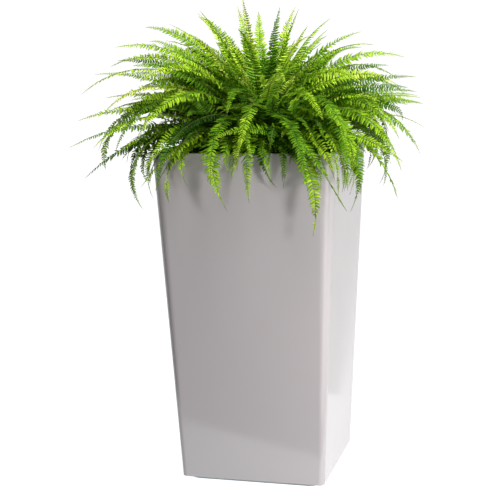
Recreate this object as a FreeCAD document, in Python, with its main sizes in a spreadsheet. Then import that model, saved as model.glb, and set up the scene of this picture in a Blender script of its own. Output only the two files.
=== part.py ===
"""A self-watering floor planter, with the sword fern that grows in it.

A tall tapered shell stands on a low foot ring.  A lift-out liner hangs from a ledge
inside the shell's rim.  Its lower part is the water reservoir: a perforated plate on
legs holds the soil above the water, and four cups of soil reach down into it.  Water
goes in through a shaft with a hinged lid, and a float in the shaft's second cell
shows the level in a clear cap.  The fern's fronds follow one family of arches, each
turned from the last by the golden angle, as the leaves of a rosette are.

Millimetres.  +Z is up, -Y is the front, and the origin is the middle of the foot
ring's underside.
"""
import FreeCAD, Part
import math
import os
import Sketcher
from FreeCAD import Placement, Rotation, Vector

SIZES = (
    # The shell and its foot.
    ("rim_width", 400, "outer width of the shell at its rim"),
    ("base_width", 324, "outer width of the shell at its lower edge"),
    ("shell_height", 730, "height of the shell, without the foot ring"),
    ("rim_corner", 28, "radius of the shell's corners at the rim"),
    ("base_corner", 12, "radius of the shell's corners at the lower edge"),
    ("shell_wall", 4, "thickness of the shell's sides"),
    ("shell_floor", 5, "thickness of the shell's floor"),
    ("rim_thickness", 5, "width of the rim's flat top"),
    ("edge_round", 1.5, "radius of the shell's rim and lower edges"),
    ("ledge_drop", 10, "depth of the ledge below the rim"),
    ("ledge_width", 5, "how far the ledge stands in from the rim's inner face"),
    ("ledge_thickness", 6, "thickness of the ledge"),
    ("foot_height", 6, "height of the foot ring"),
    ("foot_inset", 10, "how far the foot ring stands in from the shell's lower edge"),
    ("foot_band", 12, "width of the foot ring's band"),
    ("foot_corner", 30, "radius of the foot ring's outer corners"),
    ("foot_web", 3, "thickness of the screw webs in the ring's corners"),
    ("boss_radius", 7, "radius of the screw bosses on the shell's floor"),
    ("boss_height", 10, "height of the screw bosses above the floor"),
    ("screw_radius", 2, "radius of the foot screws' shanks"),
    ("screw_head_radius", 4, "radius of the foot screws' heads"),
    ("screw_head_height", 2.2, "height of the foot screws' heads"),
    ("screw_clearance", 0.2, "radial clearance round the foot screws"),
    # The quarter-turn drain plug in the shell's floor.
    ("drain_radius", 10, "radius of the drain hole in the shell's floor"),
    ("drain_fit", 0.4, "radial clearance of the drain plug in its hole"),
    ("drain_head_radius", 18, "radius of the drain plug's head"),
    ("drain_head_height", 4, "height of the drain plug's head"),
    ("drain_grip_length", 30, "length of the drain plug's grip"),
    ("drain_grip_width", 6, "width of the drain plug's grip"),
    ("drain_grip_height", 12, "height of the drain plug's grip"),
    ("drain_seal_height", 2, "thickness of the drain plug's seal"),
    ("drain_lug_reach", 15, "how far the drain plug's two lugs reach from its axis"),
    ("drain_lug_width", 6, "width of the drain plug's lugs"),
    ("drain_lug_height", 2.2, "thickness of the drain plug's lugs"),
    ("drain_lug_gap", 0.4, "gap between the lugs and the floor's underside"),
    # The liner.
    ("liner_depth", 420, "height of the liner, from its flange's top to its underside"),
    ("liner_wall", 3, "thickness of the liner's sides"),
    ("liner_floor", 3, "thickness of the liner's floor"),
    ("liner_gap", 1, "gap round the liner's flange and round its top in the ledge"),
    ("liner_side_gap", 8, "gap between the liner's underside edge and the shell"),
    ("liner_base_corner", 14, "radius of the liner's corners at its underside"),
    ("flange_thickness", 4, "thickness of the liner's flange"),
    ("stopper_radius", 8, "radius of the hole in the liner's floor"),
    ("stopper_fit", 0.3, "radial clearance of the stopper in its hole"),
    ("stopper_head_radius", 13, "radius of the stopper's head, under the floor"),
    ("stopper_head_height", 3, "thickness of the stopper's head"),
    ("stopper_tab_length", 16, "length of the stopper's pull tab"),
    ("stopper_tab_width", 4, "width of the stopper's pull tab"),
    ("stopper_tab_height", 12, "height of the stopper's pull tab"),
    ("stopper_tip", 2, "how far the stopper stands above the liner's floor"),
    ("stopper_distance", 60, "distance of the stopper from the planter's middle"),
    # The two sliding handles and their sleeves in the liner.
    ("handle_travel", 60, "how far a handle slides up"),
    ("handle_span", 124, "length of a handle's grip"),
    ("grip_width", 8, "width of a handle's grip"),
    ("grip_height", 8, "height of a handle's grip"),
    ("grip_round", 2.5, "radius of the grip's long edges"),
    ("leg_spacing", 96, "distance between a handle's two legs"),
    ("leg_width", 14, "width of a handle's legs"),
    ("leg_thickness", 4, "thickness of a handle's legs"),
    ("toe_width", 18, "width of the stop at a leg's end"),
    ("toe_thickness", 6, "thickness of the stop at a leg's end"),
    ("toe_height", 6, "height of the stop at a leg's end"),
    ("slide_gap", 0.4, "gap round the handles' legs and toes"),
    ("sleeve_wall", 3, "thickness of the sleeves' sides, tops and floors"),
    # The reservoir.
    ("reservoir_depth", 90, "height of the water space under the separator plate"),
    ("plate_thickness", 3, "thickness of the separator plate"),
    ("plate_gap", 1.5, "gap between the separator plate and the liner"),
    ("post_radius", 9, "radius of the separator plate's legs"),
    ("post_distance", 120, "distance of the plate's legs from the middle"),
    ("seep_radius", 3, "radius of the plate's seep holes"),
    ("cup_distance", 70, "distance of the wick cups from the middle, along X and Y"),
    ("cup_radius", 25, "outer radius of a wick cup at its top"),
    ("cup_foot_radius", 18, "outer radius of a wick cup at its foot"),
    ("cup_depth", 82, "how far a wick cup reaches below the plate's top"),
    ("cup_wall", 1.8, "thickness of a wick cup's wall"),
    ("cup_lip", 5, "width of a wick cup's lip"),
    ("cup_lip_height", 2, "thickness of a wick cup's lip"),
    ("cup_fit", 0.5, "radial clearance of a wick cup in the plate"),
    ("cup_slit_width", 3, "width of the slits in a wick cup"),
    ("cup_slit_height", 26, "height of the slits in a wick cup"),
    ("cup_slit_start", 6, "height of the slits' lower ends above the cup's foot"),
    ("drainage_depth", 30, "depth of the layer of drainage stones"),
    ("fill_gap", 0.5, "gap between the fillings and the hard pieces round them"),
    # The supply shaft and what it carries.
    ("shaft_length", 96, "outer length of the supply shaft, along X"),
    ("shaft_width", 46, "outer width of the supply shaft, along Y"),
    ("shaft_wall", 2, "thickness of the supply shaft's walls"),
    ("shaft_corner", 6, "radius of the supply shaft's corners"),
    ("shaft_side_gap", 4, "gap between the shaft and the liner at the liner's floor"),
    ("shaft_lift", 0.5, "gap between the shaft and the liner's floor"),
    ("float_cell", 32, "inner length of the shaft's float cell"),
    ("inlet_width", 26, "width of the water inlets at the shaft's foot"),
    ("inlet_height", 22, "height of the water inlets at the shaft's foot"),
    ("shaft_drop", 6, "depth of the shaft's top below the liner's flange"),
    ("collar_thickness", 6, "thickness of the collar on the shaft"),
    ("collar_overhang", 2, "how far the collar stands out beyond the shaft"),
    ("fill_length", 50, "length of the filling hole, along X"),
    ("fill_width", 34, "width of the filling hole, along Y"),
    ("lid_margin", 4, "how far the lid covers the collar round the filling hole"),
    ("lid_thickness", 4, "thickness of the lid"),
    ("lid_gap", 0.4, "gap under the lid and beside its knuckle"),
    ("lid_lip", 5, "how far the lid's finger lip stands out"),
    ("lid_lip_length", 20, "length of the lid's finger lip"),
    ("knuckle_radius", 3.2, "radius of the lid's knuckle and the collar's lugs"),
    ("lug_length", 6, "length of the collar's hinge lugs"),
    ("pin_radius", 1.4, "radius of the hinge pin"),
    ("pin_fit", 0.15, "radial clearance round the hinge pin"),
    # The water gauge.
    ("float_radius", 13, "radius of the float"),
    ("float_height", 42, "height of the float"),
    ("float_lift", 4, "height of the float above the liner's floor at rest"),
    ("float_travel", 40, "how far the float rises"),
    ("rod_radius", 2, "radius of the gauge rod"),
    ("rod_fit", 1, "radial clearance of the rod in the collar"),
    ("tip_radius", 4.2, "radius of the gauge tip"),
    ("tip_height", 10, "height of the gauge tip"),
    ("window_radius", 8, "outer radius of the clear cap"),
    ("window_wall", 1.6, "thickness of the clear cap"),
    ("window_base_radius", 11, "radius of the clear cap's base"),
    ("window_base_height", 2, "height of the clear cap's base"),
    ("window_spare", 3, "height of the clear cap above the tip's highest place"),
    # The soil and the fern.
    ("soil_drop", 14, "depth of the soil's edge below the liner's flange"),
    ("soil_foot_radius", 140, "radius of the soil's mound at its foot"),
    ("soil_mound_radius", 60, "radius of the soil's mound at its top"),
    ("soil_mound_height", 14, "height of the soil's mound"),
    ("finger_depth", 26, "depth of the finger room behind a handle's grip"),
    ("crown_radius", 44, "radius of the fern's crown"),
    ("crown_height", 34, "height of the fern's crown"),
    ("frond_count", 72, "number of fronds"),
    ("frond_width", 40, "greatest width of a frond"),
    ("frond_thickness", 1.6, "thickness of a frond's solid"),
    ("stalk_width", 5, "width of a frond's stalk"),
    ("old_frond_length", 395, "length of the oldest, lowest fronds"),
    ("young_frond_length", 310, "length of the youngest, highest fronds"),
    ("frond_bonus", 45, "how much longer the fronds of middle age are"),
    ("left_gain", 0.06, "share by which the fronds at the left are longer"),
    ("length_spread", 0.16, "greatest share by which a single frond is shorter"),
    ("frond_sway", 0.11, "share of its length by which a frond's tip strays sideways"),
    ("front_rise", 28, "slope at which the oldest fronds leave the crown, in degrees"),
    ("side_rise", 16, "how much steeper they leave it at the left and right"),
    ("front_fall", 90, "slope at which the oldest fronds' tips hang, in degrees"),
    ("side_fall", 20, "how much less they hang at the left and right"),
    ("young_rise", 86, "slope at which the youngest fronds leave the crown"),
    ("young_fall", 62, "slope of the youngest fronds' tips"),
    ("frond_roll", 40, "how far a side frond's blade is rolled to the front, in degrees"),
)

SHEET = "Sizes"
GOLDEN_ANGLE = 137.508
SECTION_COUNT = 10
CHANCE_STEP = 1.3
CHANCE_RATIO = 1.9
CUP_CORNERS = ((1, 1), (-1, 1), (-1, -1), (1, -1))

document = FreeCAD.newDocument("Planter")
sheet = document.addObject("Spreadsheet::Sheet", SHEET)
for row, (alias, number, meaning) in enumerate(SIZES, start=1):
    sheet.set(f"A{row}", str(number))
    sheet.setAlias(f"A{row}", alias)
    sheet.set(f"B{row}", meaning)
document.recompute()
sub_parts = []


class Sheet:
    """Names the sheet's cells in expressions: size.rim_width is "Sizes.rim_width"."""

    def __getattr__(self, alias):
        return f"{SHEET}.{alias}"


size = Sheet()


def number(expression):
    """Returns what an expression is worth with the sheet as it stands."""
    return float(sheet.evalExpression(expression))


# Levels and half widths that several pieces share, as expressions.

RIM_TOP = f"({size.foot_height} + {size.shell_height})"
LEDGE_TOP = f"({RIM_TOP} - {size.ledge_drop})"
CAVITY_FLOOR = f"({size.foot_height} + {size.shell_floor})"
CAVITY_TOP = f"({LEDGE_TOP} - {size.ledge_thickness})"
LINER_TOP = f"({LEDGE_TOP} + {size.flange_thickness})"
LINER_BOTTOM = f"({LINER_TOP} - {size.liner_depth})"
WATER_FLOOR = f"({LINER_BOTTOM} + {size.liner_floor})"
PLATE_BOTTOM = f"({WATER_FLOOR} + {size.reservoir_depth})"
PLATE_TOP = f"({PLATE_BOTTOM} + {size.plate_thickness})"
SOIL_BOTTOM = f"({PLATE_TOP} + {size.drainage_depth})"
SOIL_TOP = f"({LINER_TOP} - {size.soil_drop})"
MOUND_TOP = f"({SOIL_TOP} + {size.soil_mound_height})"
SHAFT_TOP = f"({LINER_TOP} - {size.shaft_drop})"
COLLAR_TOP = f"({SHAFT_TOP} + {size.collar_thickness})"
SLEEVE_TOP = f"({LINER_TOP} - {size.grip_height} - {size.slide_gap})"
SLEEVE_HEIGHT = (f"({size.handle_travel} + {size.toe_height} + 2 * {size.sleeve_wall}"
                 f" + 2 * {size.slide_gap})")

MOUTH_HALF = f"({size.rim_width} / 2 - {size.rim_thickness})"
NECK_HALF = f"({MOUTH_HALF} - {size.ledge_width})"
FOOT_HALF = f"({size.base_width} / 2 - {size.foot_inset})"
SCREW_PLACE = f"({FOOT_HALF} - {size.foot_corner})"


def between(low, high, low_level, high_level, level):
    """Returns the value at a level of something that changes evenly with height."""
    share = f"(({level}) - {low_level}) / ({high_level} - {low_level})"
    return f"(({low}) + (({high}) - ({low})) * {share})"


def shell_half(level):
    """Returns the half width of the shell's outside at a level."""
    return between(f"{size.base_width} / 2", f"{size.rim_width} / 2",
                   size.foot_height, RIM_TOP, level)


def shell_corner(level):
    """Returns the radius of the shell's outer corners at a level."""
    return between(size.base_corner, size.rim_corner, size.foot_height, RIM_TOP, level)


LINER_TOP_HALF = f"({NECK_HALF} - {size.liner_gap})"
LINER_BASE_HALF = (f"({shell_half(LINER_BOTTOM)} - {size.shell_wall}"
                   f" - {size.liner_side_gap})")
LINER_TOP_CORNER = (f"({size.rim_corner} - {size.rim_thickness} - {size.ledge_width}"
                    f" - {size.liner_gap})")


def liner_half(level):
    """Returns the half width of the liner's inside at a level."""
    outside = between(LINER_BASE_HALF, LINER_TOP_HALF, LINER_BOTTOM, LINER_TOP, level)
    return f"({outside} - {size.liner_wall})"


def liner_corner(level):
    """Returns the radius of the liner's inner corners at a level."""
    outside = between(size.liner_base_corner, LINER_TOP_CORNER,
                      LINER_BOTTOM, LINER_TOP, level)
    return f"({outside} - {size.liner_wall})"


# The handle sleeves stand half inside the liner's wall.
SLEEVE_DEPTH = f"({size.toe_thickness} + 2 * {size.slide_gap} + 2 * {size.sleeve_wall})"
SLEEVE_LENGTH = f"({size.toe_width} + 2 * {size.slide_gap} + 2 * {size.sleeve_wall})"
HANDLE_PLACE = (f"({liner_half(SLEEVE_TOP)} + {size.liner_wall} / 2"
                f" - {SLEEVE_DEPTH} / 2)")

# The supply shaft stands in the back left corner of the liner.
SHAFT_X = (f"(-({liner_half(WATER_FLOOR)} - {size.shaft_side_gap}"
           f" - {size.shaft_length} / 2))")
SHAFT_Y = (f"({liner_half(WATER_FLOOR)} - {size.shaft_side_gap}"
           f" - {size.shaft_width} / 2)")
# Inside the shaft, the fill channel is on the left and the float cell on the right.
GAUGE_OFFSET = (f"({size.shaft_length} / 2 - {size.shaft_wall}"
                f" - {size.float_cell} / 2)")
GAUGE_X = f"({SHAFT_X} + {GAUGE_OFFSET})"
FILL_CELL = (f"({size.shaft_length} - 3 * {size.shaft_wall} - {size.float_cell})")
FILL_OFFSET = f"({size.shaft_length} / 2 - {size.shaft_wall} - {FILL_CELL} / 2)"
FILL_X = f"({SHAFT_X} - {FILL_OFFSET})"

LID_LENGTH = f"({size.fill_length} + 2 * {size.lid_margin})"
LID_WIDTH = f"({size.fill_width} + 2 * {size.lid_margin})"
LID_BOTTOM = f"({COLLAR_TOP} + {size.lid_gap})"
HINGE_Y = f"({SHAFT_Y} + {LID_WIDTH} / 2 + {size.knuckle_radius} / 2)"
HINGE_Z = f"({LID_BOTTOM} + {size.knuckle_radius})"
KNUCKLE_LENGTH = f"({LID_LENGTH} - 2 * {size.lug_length} - 2 * {size.lid_gap})"

FLOAT_BOTTOM = f"({WATER_FLOOR} + {size.float_lift})"
TIP_BOTTOM = f"({COLLAR_TOP} + {size.window_base_height})"
WINDOW_HEIGHT = (f"({size.window_base_height} + {size.tip_height}"
                 f" + {size.float_travel} + {size.window_spare} + {size.window_wall})")


# Helpers for bodies, sketches and features.

def new_body(name):
    """Starts a sub-part that is made of sketches and features."""
    body = document.addObject("PartDesign::Body", name)
    body.Label = name
    sub_parts.append(body)
    return body


def new_sketch(body, name, role="XY_Plane", offset="0"):
    """Adds a sketch on one of the body's origin planes, moved along its normal."""
    sketch = body.newObject("Sketcher::SketchObject", name)
    plane = next(item for item in body.Origin.OriginFeatures if item.Role == role)
    sketch.AttachmentSupport = [(plane, "")]
    sketch.MapMode = "FlatFace"
    if offset != "0":
        sketch.setExpression("AttachmentOffset.Base.z", offset)
    return sketch


def bind(sketch, constraint, expression):
    """Adds a sized constraint and ties it to an expression."""
    index = sketch.addConstraint(constraint)
    sketch.setExpression(f"Constraints[{index}]", expression)


def hold_point(sketch, geometry, position, x, y):
    """Holds a point of a sketch at a place that two expressions give."""
    for kind, axis, expression in (("DistanceX", -2, x), ("DistanceY", -1, y)):
        if expression == "0":
            sketch.addConstraint(
                Sketcher.Constraint("PointOnObject", geometry, position, axis))
        else:
            bind(sketch, Sketcher.Constraint(kind, -1, 1, geometry, position,
                                             number(expression)), expression)


def add_polygon(sketch, corners):
    """Adds a closed outline through corners that are pairs of expressions."""
    places = [Vector(number(x), number(y), 0) for x, y in corners]
    lines = []
    for here, after in zip(places, places[1:] + places[:1]):
        lines.append(sketch.addGeometry(Part.LineSegment(here, after), False))
    for line, after in zip(lines, lines[1:] + lines[:1]):
        sketch.addConstraint(Sketcher.Constraint("Coincident", line, 2, after, 1))
    for line, (x, y) in zip(lines, corners):
        hold_point(sketch, line, 1, x, y)


def add_rectangle(sketch, x, y, length, width):
    """Adds a rectangle of a length and width about a centre."""
    left, right = f"{x} - {length} / 2", f"{x} + {length} / 2"
    front, back = f"{y} - {width} / 2", f"{y} + {width} / 2"
    add_polygon(sketch, ((left, front), (right, front), (right, back), (left, back)))


def add_circle(sketch, x, y, radius):
    """Adds a circle about a centre."""
    centre = Vector(number(x), number(y), 0)
    circle = sketch.addGeometry(
        Part.Circle(centre, Vector(0, 0, 1), number(radius)), False)
    hold_point(sketch, circle, 3, x, y)
    bind(sketch, Sketcher.Constraint("Radius", circle, number(radius)), radius)


def add_rounded(sketch, length, width, corner):
    """Adds a rectangle with rounded corners about the sketch's origin."""
    half_x, half_y, radius = number(length) / 2, number(width) / 2, number(corner)
    up = Vector(0, 0, 1)
    in_x, in_y = half_x - radius, half_y - radius
    sides = (((-in_x, -half_y), (in_x, -half_y)), ((half_x, -in_y), (half_x, in_y)),
             ((in_x, half_y), (-in_x, half_y)), ((-half_x, in_y), (-half_x, -in_y)))
    turns = ((in_x, -in_y, 270), (in_x, in_y, 0), (-in_x, in_y, 90), (-in_x, -in_y, 180))
    lines, arcs = [], []
    for (start, end), (x, y, angle) in zip(sides, turns):
        line = Part.LineSegment(Vector(*start, 0), Vector(*end, 0))
        lines.append(sketch.addGeometry(line, False))
        circle = Part.Circle(Vector(x, y, 0), up, radius)
        arc = Part.ArcOfCircle(circle, math.radians(angle), math.radians(angle + 90))
        arcs.append(sketch.addGeometry(arc, False))
    for line, arc, after in zip(lines, arcs, lines[1:] + lines[:1]):
        sketch.addConstraint(Sketcher.Constraint("Tangent", line, 2, arc, 1))
        sketch.addConstraint(Sketcher.Constraint("Tangent", arc, 2, after, 1))
    for line, kind in zip(lines, ("Horizontal", "Vertical") * 2):
        sketch.addConstraint(Sketcher.Constraint(kind, line))
    for arc in arcs[1:]:
        sketch.addConstraint(Sketcher.Constraint("Equal", arcs[0], arc))
    sketch.addConstraint(
        Sketcher.Constraint("Symmetric", lines[0], 1, lines[2], 1, -1, 1))
    bind(sketch, Sketcher.Constraint("Radius", arcs[0], radius), corner)
    bind(sketch, Sketcher.Constraint("DistanceX", lines[3], 1, lines[1], 1, 2 * half_x),
         length)
    bind(sketch, Sketcher.Constraint("DistanceY", lines[0], 1, lines[2], 1, 2 * half_y),
         width)


def rounded_sketch(body, name, level, half, corner):
    """Adds a sketch of a rounded square at a level."""
    sketch = new_sketch(body, name, offset=level)
    add_rounded(sketch, f"2 * {half}", f"2 * {half}", corner)
    return sketch


def add_loft(body, name, sketches, cut=False):
    """Lofts straight sides through sketches, as material or as a hollow."""
    kind = "PartDesign::SubtractiveLoft" if cut else "PartDesign::AdditiveLoft"
    feature = body.newObject(kind, name)
    feature.Profile = sketches[0]
    feature.Sections = sketches[1:]
    feature.Ruled = True
    document.recompute()
    return feature


def add_pad(body, name, sketch, length):
    """Raises a sketch by a length."""
    feature = body.newObject("PartDesign::Pad", name)
    feature.Profile = sketch
    feature.setExpression("Length", length)
    document.recompute()
    return feature


def add_pocket(body, name, sketch, length):
    """Cuts a sketch upwards by a length, and makes sure that it cuts something."""
    before = body.Shape.Volume
    feature = body.newObject("PartDesign::Pocket", name)
    feature.Profile = sketch
    feature.Reversed = True
    feature.setExpression("Length", length)
    document.recompute()
    if not body.Shape.Volume < before:
        raise RuntimeError(f"{name} cuts nothing")
    return feature


def add_revolution(body, name, sketch):
    """Turns a sketch in the XZ plane about the body's Z axis."""
    feature = body.newObject("PartDesign::Revolution", name)
    feature.Profile = sketch
    feature.ReferenceAxis = (sketch, ["V_Axis"])
    feature.Angle = 360
    document.recompute()
    return feature


def add_fillet(body, name, edges, radius):
    """Rounds edges of the body, given by their names."""
    base = body.Tip
    feature = body.newObject("PartDesign::Fillet", name)
    feature.Base = (base, edges)
    feature.setExpression("Radius", radius)
    document.recompute()
    return feature


def level_edges(shape, level):
    """Returns the names of a shape's edges that lie flat at a level."""
    names = []
    for place, edge in enumerate(shape.Edges, start=1):
        box = edge.BoundBox
        if abs(box.ZMin - level) < 0.01 and abs(box.ZMax - level) < 0.01:
            names.append(f"Edge{place}")
    return names


def place(piece, x="0", y="0", z="0"):
    """Ties a sub-part's place to expressions."""
    for axis, expression in (("x", x), ("y", y), ("z", z)):
        if expression != "0":
            piece.setExpression(f"Placement.Base.{axis}", expression)


def turned(body, name, corners):
    """Makes a body of one turned outline, given as pairs of radius and height."""
    sketch = new_sketch(body, f"{name}_outline", "XZ_Plane")
    add_polygon(sketch, corners)
    return add_revolution(body, f"{name}_turned", sketch)


# The shell and its foot.

def outer_shell():
    """The tapered shell: its sides, floor, liner ledge, drain hole and screw bosses."""
    body = new_body("outer_shell")
    low = rounded_sketch(body, "shell_low", size.foot_height,
                         f"({size.base_width} / 2)", size.base_corner)
    high = rounded_sketch(body, "shell_high", RIM_TOP,
                          f"({size.rim_width} / 2)", size.rim_corner)
    add_loft(body, "shell_sides", [low, high])
    floor = rounded_sketch(body, "cavity_low", CAVITY_FLOOR,
                           f"({shell_half(CAVITY_FLOOR)} - {size.shell_wall})",
                           f"{shell_corner(CAVITY_FLOOR)} - {size.shell_wall}")
    ceiling = rounded_sketch(body, "cavity_high", CAVITY_TOP,
                             f"({shell_half(CAVITY_TOP)} - {size.shell_wall})",
                             f"{shell_corner(CAVITY_TOP)} - {size.shell_wall}")
    add_loft(body, "cavity", [floor, ceiling], cut=True)
    neck = rounded_sketch(body, "neck_outline", CAVITY_TOP, NECK_HALF,
                          f"{size.rim_corner} - {size.rim_thickness}"
                          f" - {size.ledge_width}")
    add_pocket(body, "neck", neck, size.ledge_thickness)
    mouth = rounded_sketch(body, "mouth_outline", LEDGE_TOP, MOUTH_HALF,
                           f"{size.rim_corner} - {size.rim_thickness}")
    add_pocket(body, "mouth", mouth, size.ledge_drop)
    rounded = level_edges(body.Shape, number(RIM_TOP))
    rounded += level_edges(body.Shape, number(size.foot_height))
    add_fillet(body, "rounded_edges", rounded, size.edge_round)
    bosses = new_sketch(body, "boss_outline", offset=size.foot_height)
    bores = new_sketch(body, "boss_bores", offset=size.foot_height)
    for side_x, side_y in CUP_CORNERS:
        x, y = f"{side_x} * {SCREW_PLACE}", f"{side_y} * {SCREW_PLACE}"
        add_circle(bosses, x, y, size.boss_radius)
        add_circle(bores, x, y, f"{size.screw_radius} + {size.screw_clearance}")
    add_pad(body, "bosses", bosses, f"{size.shell_floor} + {size.boss_height}")
    add_pocket(body, "boss_holes", bores,
               f"{size.shell_floor} + {size.boss_height} - {size.foot_web}")
    drain = new_sketch(body, "drain_outline", offset=size.foot_height)
    add_circle(drain, "0", "0", size.drain_radius)
    add_pocket(body, "drain_hole", drain, size.shell_floor)
    notch = new_sketch(body, "notch_outline", offset=size.foot_height)
    add_rectangle(notch, "0", "0", f"({size.drain_lug_width} + 2 * {size.drain_fit})",
                  f"(2 * ({size.drain_lug_reach} + {size.drain_fit}))")
    add_pocket(body, "drain_notches", notch, size.shell_floor)


def foot_ring():
    """The low ring that the planter stands on, with a screw web in each corner."""
    body = new_body("foot_ring")
    outside = new_sketch(body, "ring_outside")
    add_rounded(outside, f"2 * {FOOT_HALF}", f"2 * {FOOT_HALF}", size.foot_corner)
    add_pad(body, "ring", outside, size.foot_height)
    inside = new_sketch(body, "ring_inside")
    inner = f"2 * ({FOOT_HALF} - {size.foot_band})"
    add_rounded(inside, inner, inner, f"{size.foot_corner} - {size.foot_band}")
    add_pocket(body, "ring_opening", inside, size.foot_height)
    webs = new_sketch(body, "web_outline", offset=f"{size.foot_height} - {size.foot_web}")
    holes = new_sketch(body, "web_bores", offset=f"{size.foot_height} - {size.foot_web}")
    for side_x, side_y in CUP_CORNERS:
        x, y = f"{side_x} * {SCREW_PLACE}", f"{side_y} * {SCREW_PLACE}"
        add_circle(webs, x, y, f"{size.foot_corner} - {size.foot_band} / 2")
        add_circle(holes, x, y, f"{size.screw_radius} + {size.screw_clearance}")
    add_pad(body, "webs", webs, size.foot_web)
    add_pocket(body, "web_holes", holes, size.foot_web)


def foot_screws():
    """The four screws that hold the foot ring to the shell's bosses."""
    screws = []
    head_low = f"({size.foot_height} - {size.foot_web} - {size.screw_head_height})"
    for place_number, (side_x, side_y) in enumerate(CUP_CORNERS, start=1):
        head = document.addObject("Part::Cylinder", f"screw_head_{place_number}")
        head.setExpression("Radius", size.screw_head_radius)
        head.setExpression("Height", size.screw_head_height)
        shank = document.addObject("Part::Cylinder", f"screw_shank_{place_number}")
        shank.setExpression("Radius", size.screw_radius)
        shank.setExpression("Height", f"{size.screw_head_height} + {size.shell_floor}"
                                      f" + {size.boss_height} - {size.foot_web}")
        for item in (head, shank):
            place(item, f"{side_x} * {SCREW_PLACE}", f"{side_y} * {SCREW_PLACE}",
                  head_low)
        screw = document.addObject("Part::Fuse", f"screw_{place_number}")
        screw.Base, screw.Tool = head, shank
        screws.append(screw)
    group = document.addObject("Part::Compound", "foot_screws")
    group.Label = "foot_screws"
    group.Links = screws
    sub_parts.append(group)


def shell_drain_plug():
    """The quarter-turn plug: its head and grip above the floor, its lugs below."""
    body = new_body("shell_drain_plug")
    head_low = f"({CAVITY_FLOOR} + {size.drain_seal_height})"
    lug_low = f"({size.foot_height} - {size.drain_lug_gap} - {size.drain_lug_height})"
    turned(body, "plug", (
        ("0", lug_low),
        (f"{size.drain_radius} - {size.drain_fit}", lug_low),
        (f"{size.drain_radius} - {size.drain_fit}", head_low),
        (size.drain_head_radius, head_low),
        (size.drain_head_radius, f"{head_low} + {size.drain_head_height}"),
        ("0", f"{head_low} + {size.drain_head_height}")))
    lugs = new_sketch(body, "lug_outline", offset=lug_low)
    add_rectangle(lugs, "0", "0", f"(2 * {size.drain_lug_reach})", size.drain_lug_width)
    add_pad(body, "lugs", lugs, size.drain_lug_height)
    grip = new_sketch(body, "plug_grip_outline",
                      offset=f"{head_low} + {size.drain_head_height}")
    add_rectangle(grip, "0", "0", size.drain_grip_length, size.drain_grip_width)
    add_pad(body, "plug_grip", grip, size.drain_grip_height)
    top = number(f"{head_low} + {size.drain_head_height} + {size.drain_grip_height}")
    add_fillet(body, "plug_grip_edges", level_edges(body.Shape, top), size.edge_round)


def shell_plug_seal():
    """The flat rubber ring between the drain plug's head and the shell's floor."""
    body = new_body("shell_plug_seal")
    low, high = CAVITY_FLOOR, f"({CAVITY_FLOOR} + {size.drain_seal_height})"
    turned(body, "seal", ((f"{size.drain_radius} + 0", low), (size.drain_head_radius, low),
                          (size.drain_head_radius, high), (size.drain_radius, high)))


# The liner, its stopper and its handles.

def handle_sides():
    """Returns the name and the side of each handle."""
    return (("handle_left", -1), ("handle_right", 1))


def liner():
    """The lift-out tub: sides, flange, handle sleeves and the stopper's hole."""
    body = new_body("liner")
    low = rounded_sketch(body, "liner_low", LINER_BOTTOM, LINER_BASE_HALF,
                         size.liner_base_corner)
    high = rounded_sketch(body, "liner_high", LINER_TOP, LINER_TOP_HALF,
                          LINER_TOP_CORNER)
    add_loft(body, "liner_sides", [low, high])
    flange = rounded_sketch(body, "flange_outline", LEDGE_TOP,
                            f"({MOUTH_HALF} - {size.liner_gap})",
                            f"{size.rim_corner} - {size.rim_thickness}"
                            f" - {size.liner_gap}")
    add_pad(body, "flange", flange, size.flange_thickness)
    floor = rounded_sketch(body, "tub_low", WATER_FLOOR, liner_half(WATER_FLOOR),
                           liner_corner(WATER_FLOOR))
    mouth = rounded_sketch(body, "tub_high", LINER_TOP, liner_half(LINER_TOP),
                           liner_corner(LINER_TOP))
    add_loft(body, "tub", [floor, mouth], cut=True)
    sleeve_low = f"({SLEEVE_TOP} - {SLEEVE_HEIGHT})"
    channel_height = f"({SLEEVE_HEIGHT} - 2 * {size.sleeve_wall})"
    sleeves = new_sketch(body, "sleeve_outline", offset=sleeve_low)
    channels = new_sketch(body, "channel_outline",
                          offset=f"{sleeve_low} + {size.sleeve_wall}")
    slots = new_sketch(body, "slot_outline", offset=f"{SLEEVE_TOP} - {size.sleeve_wall}")
    for _, side in handle_sides():
        for end in (-1, 1):
            x, y = f"({side} * {HANDLE_PLACE})", f"({end} * {size.leg_spacing} / 2)"
            add_rectangle(sleeves, x, y, SLEEVE_DEPTH, SLEEVE_LENGTH)
            add_rectangle(channels, x, y,
                          f"({size.toe_thickness} + 2 * {size.slide_gap})",
                          f"({size.toe_width} + 2 * {size.slide_gap})")
            add_rectangle(slots, x, y, f"({size.leg_thickness} + 2 * {size.slide_gap})",
                          f"({size.leg_width} + 2 * {size.slide_gap})")
    add_pad(body, "sleeves", sleeves, SLEEVE_HEIGHT)
    add_pocket(body, "channels", channels, channel_height)
    add_pocket(body, "slots", slots, size.sleeve_wall)
    hole = new_sketch(body, "stopper_hole_outline", offset=LINER_BOTTOM)
    add_circle(hole, "0", f"-{size.stopper_distance}", size.stopper_radius)
    add_pocket(body, "stopper_hole", hole, size.liner_floor)


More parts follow.
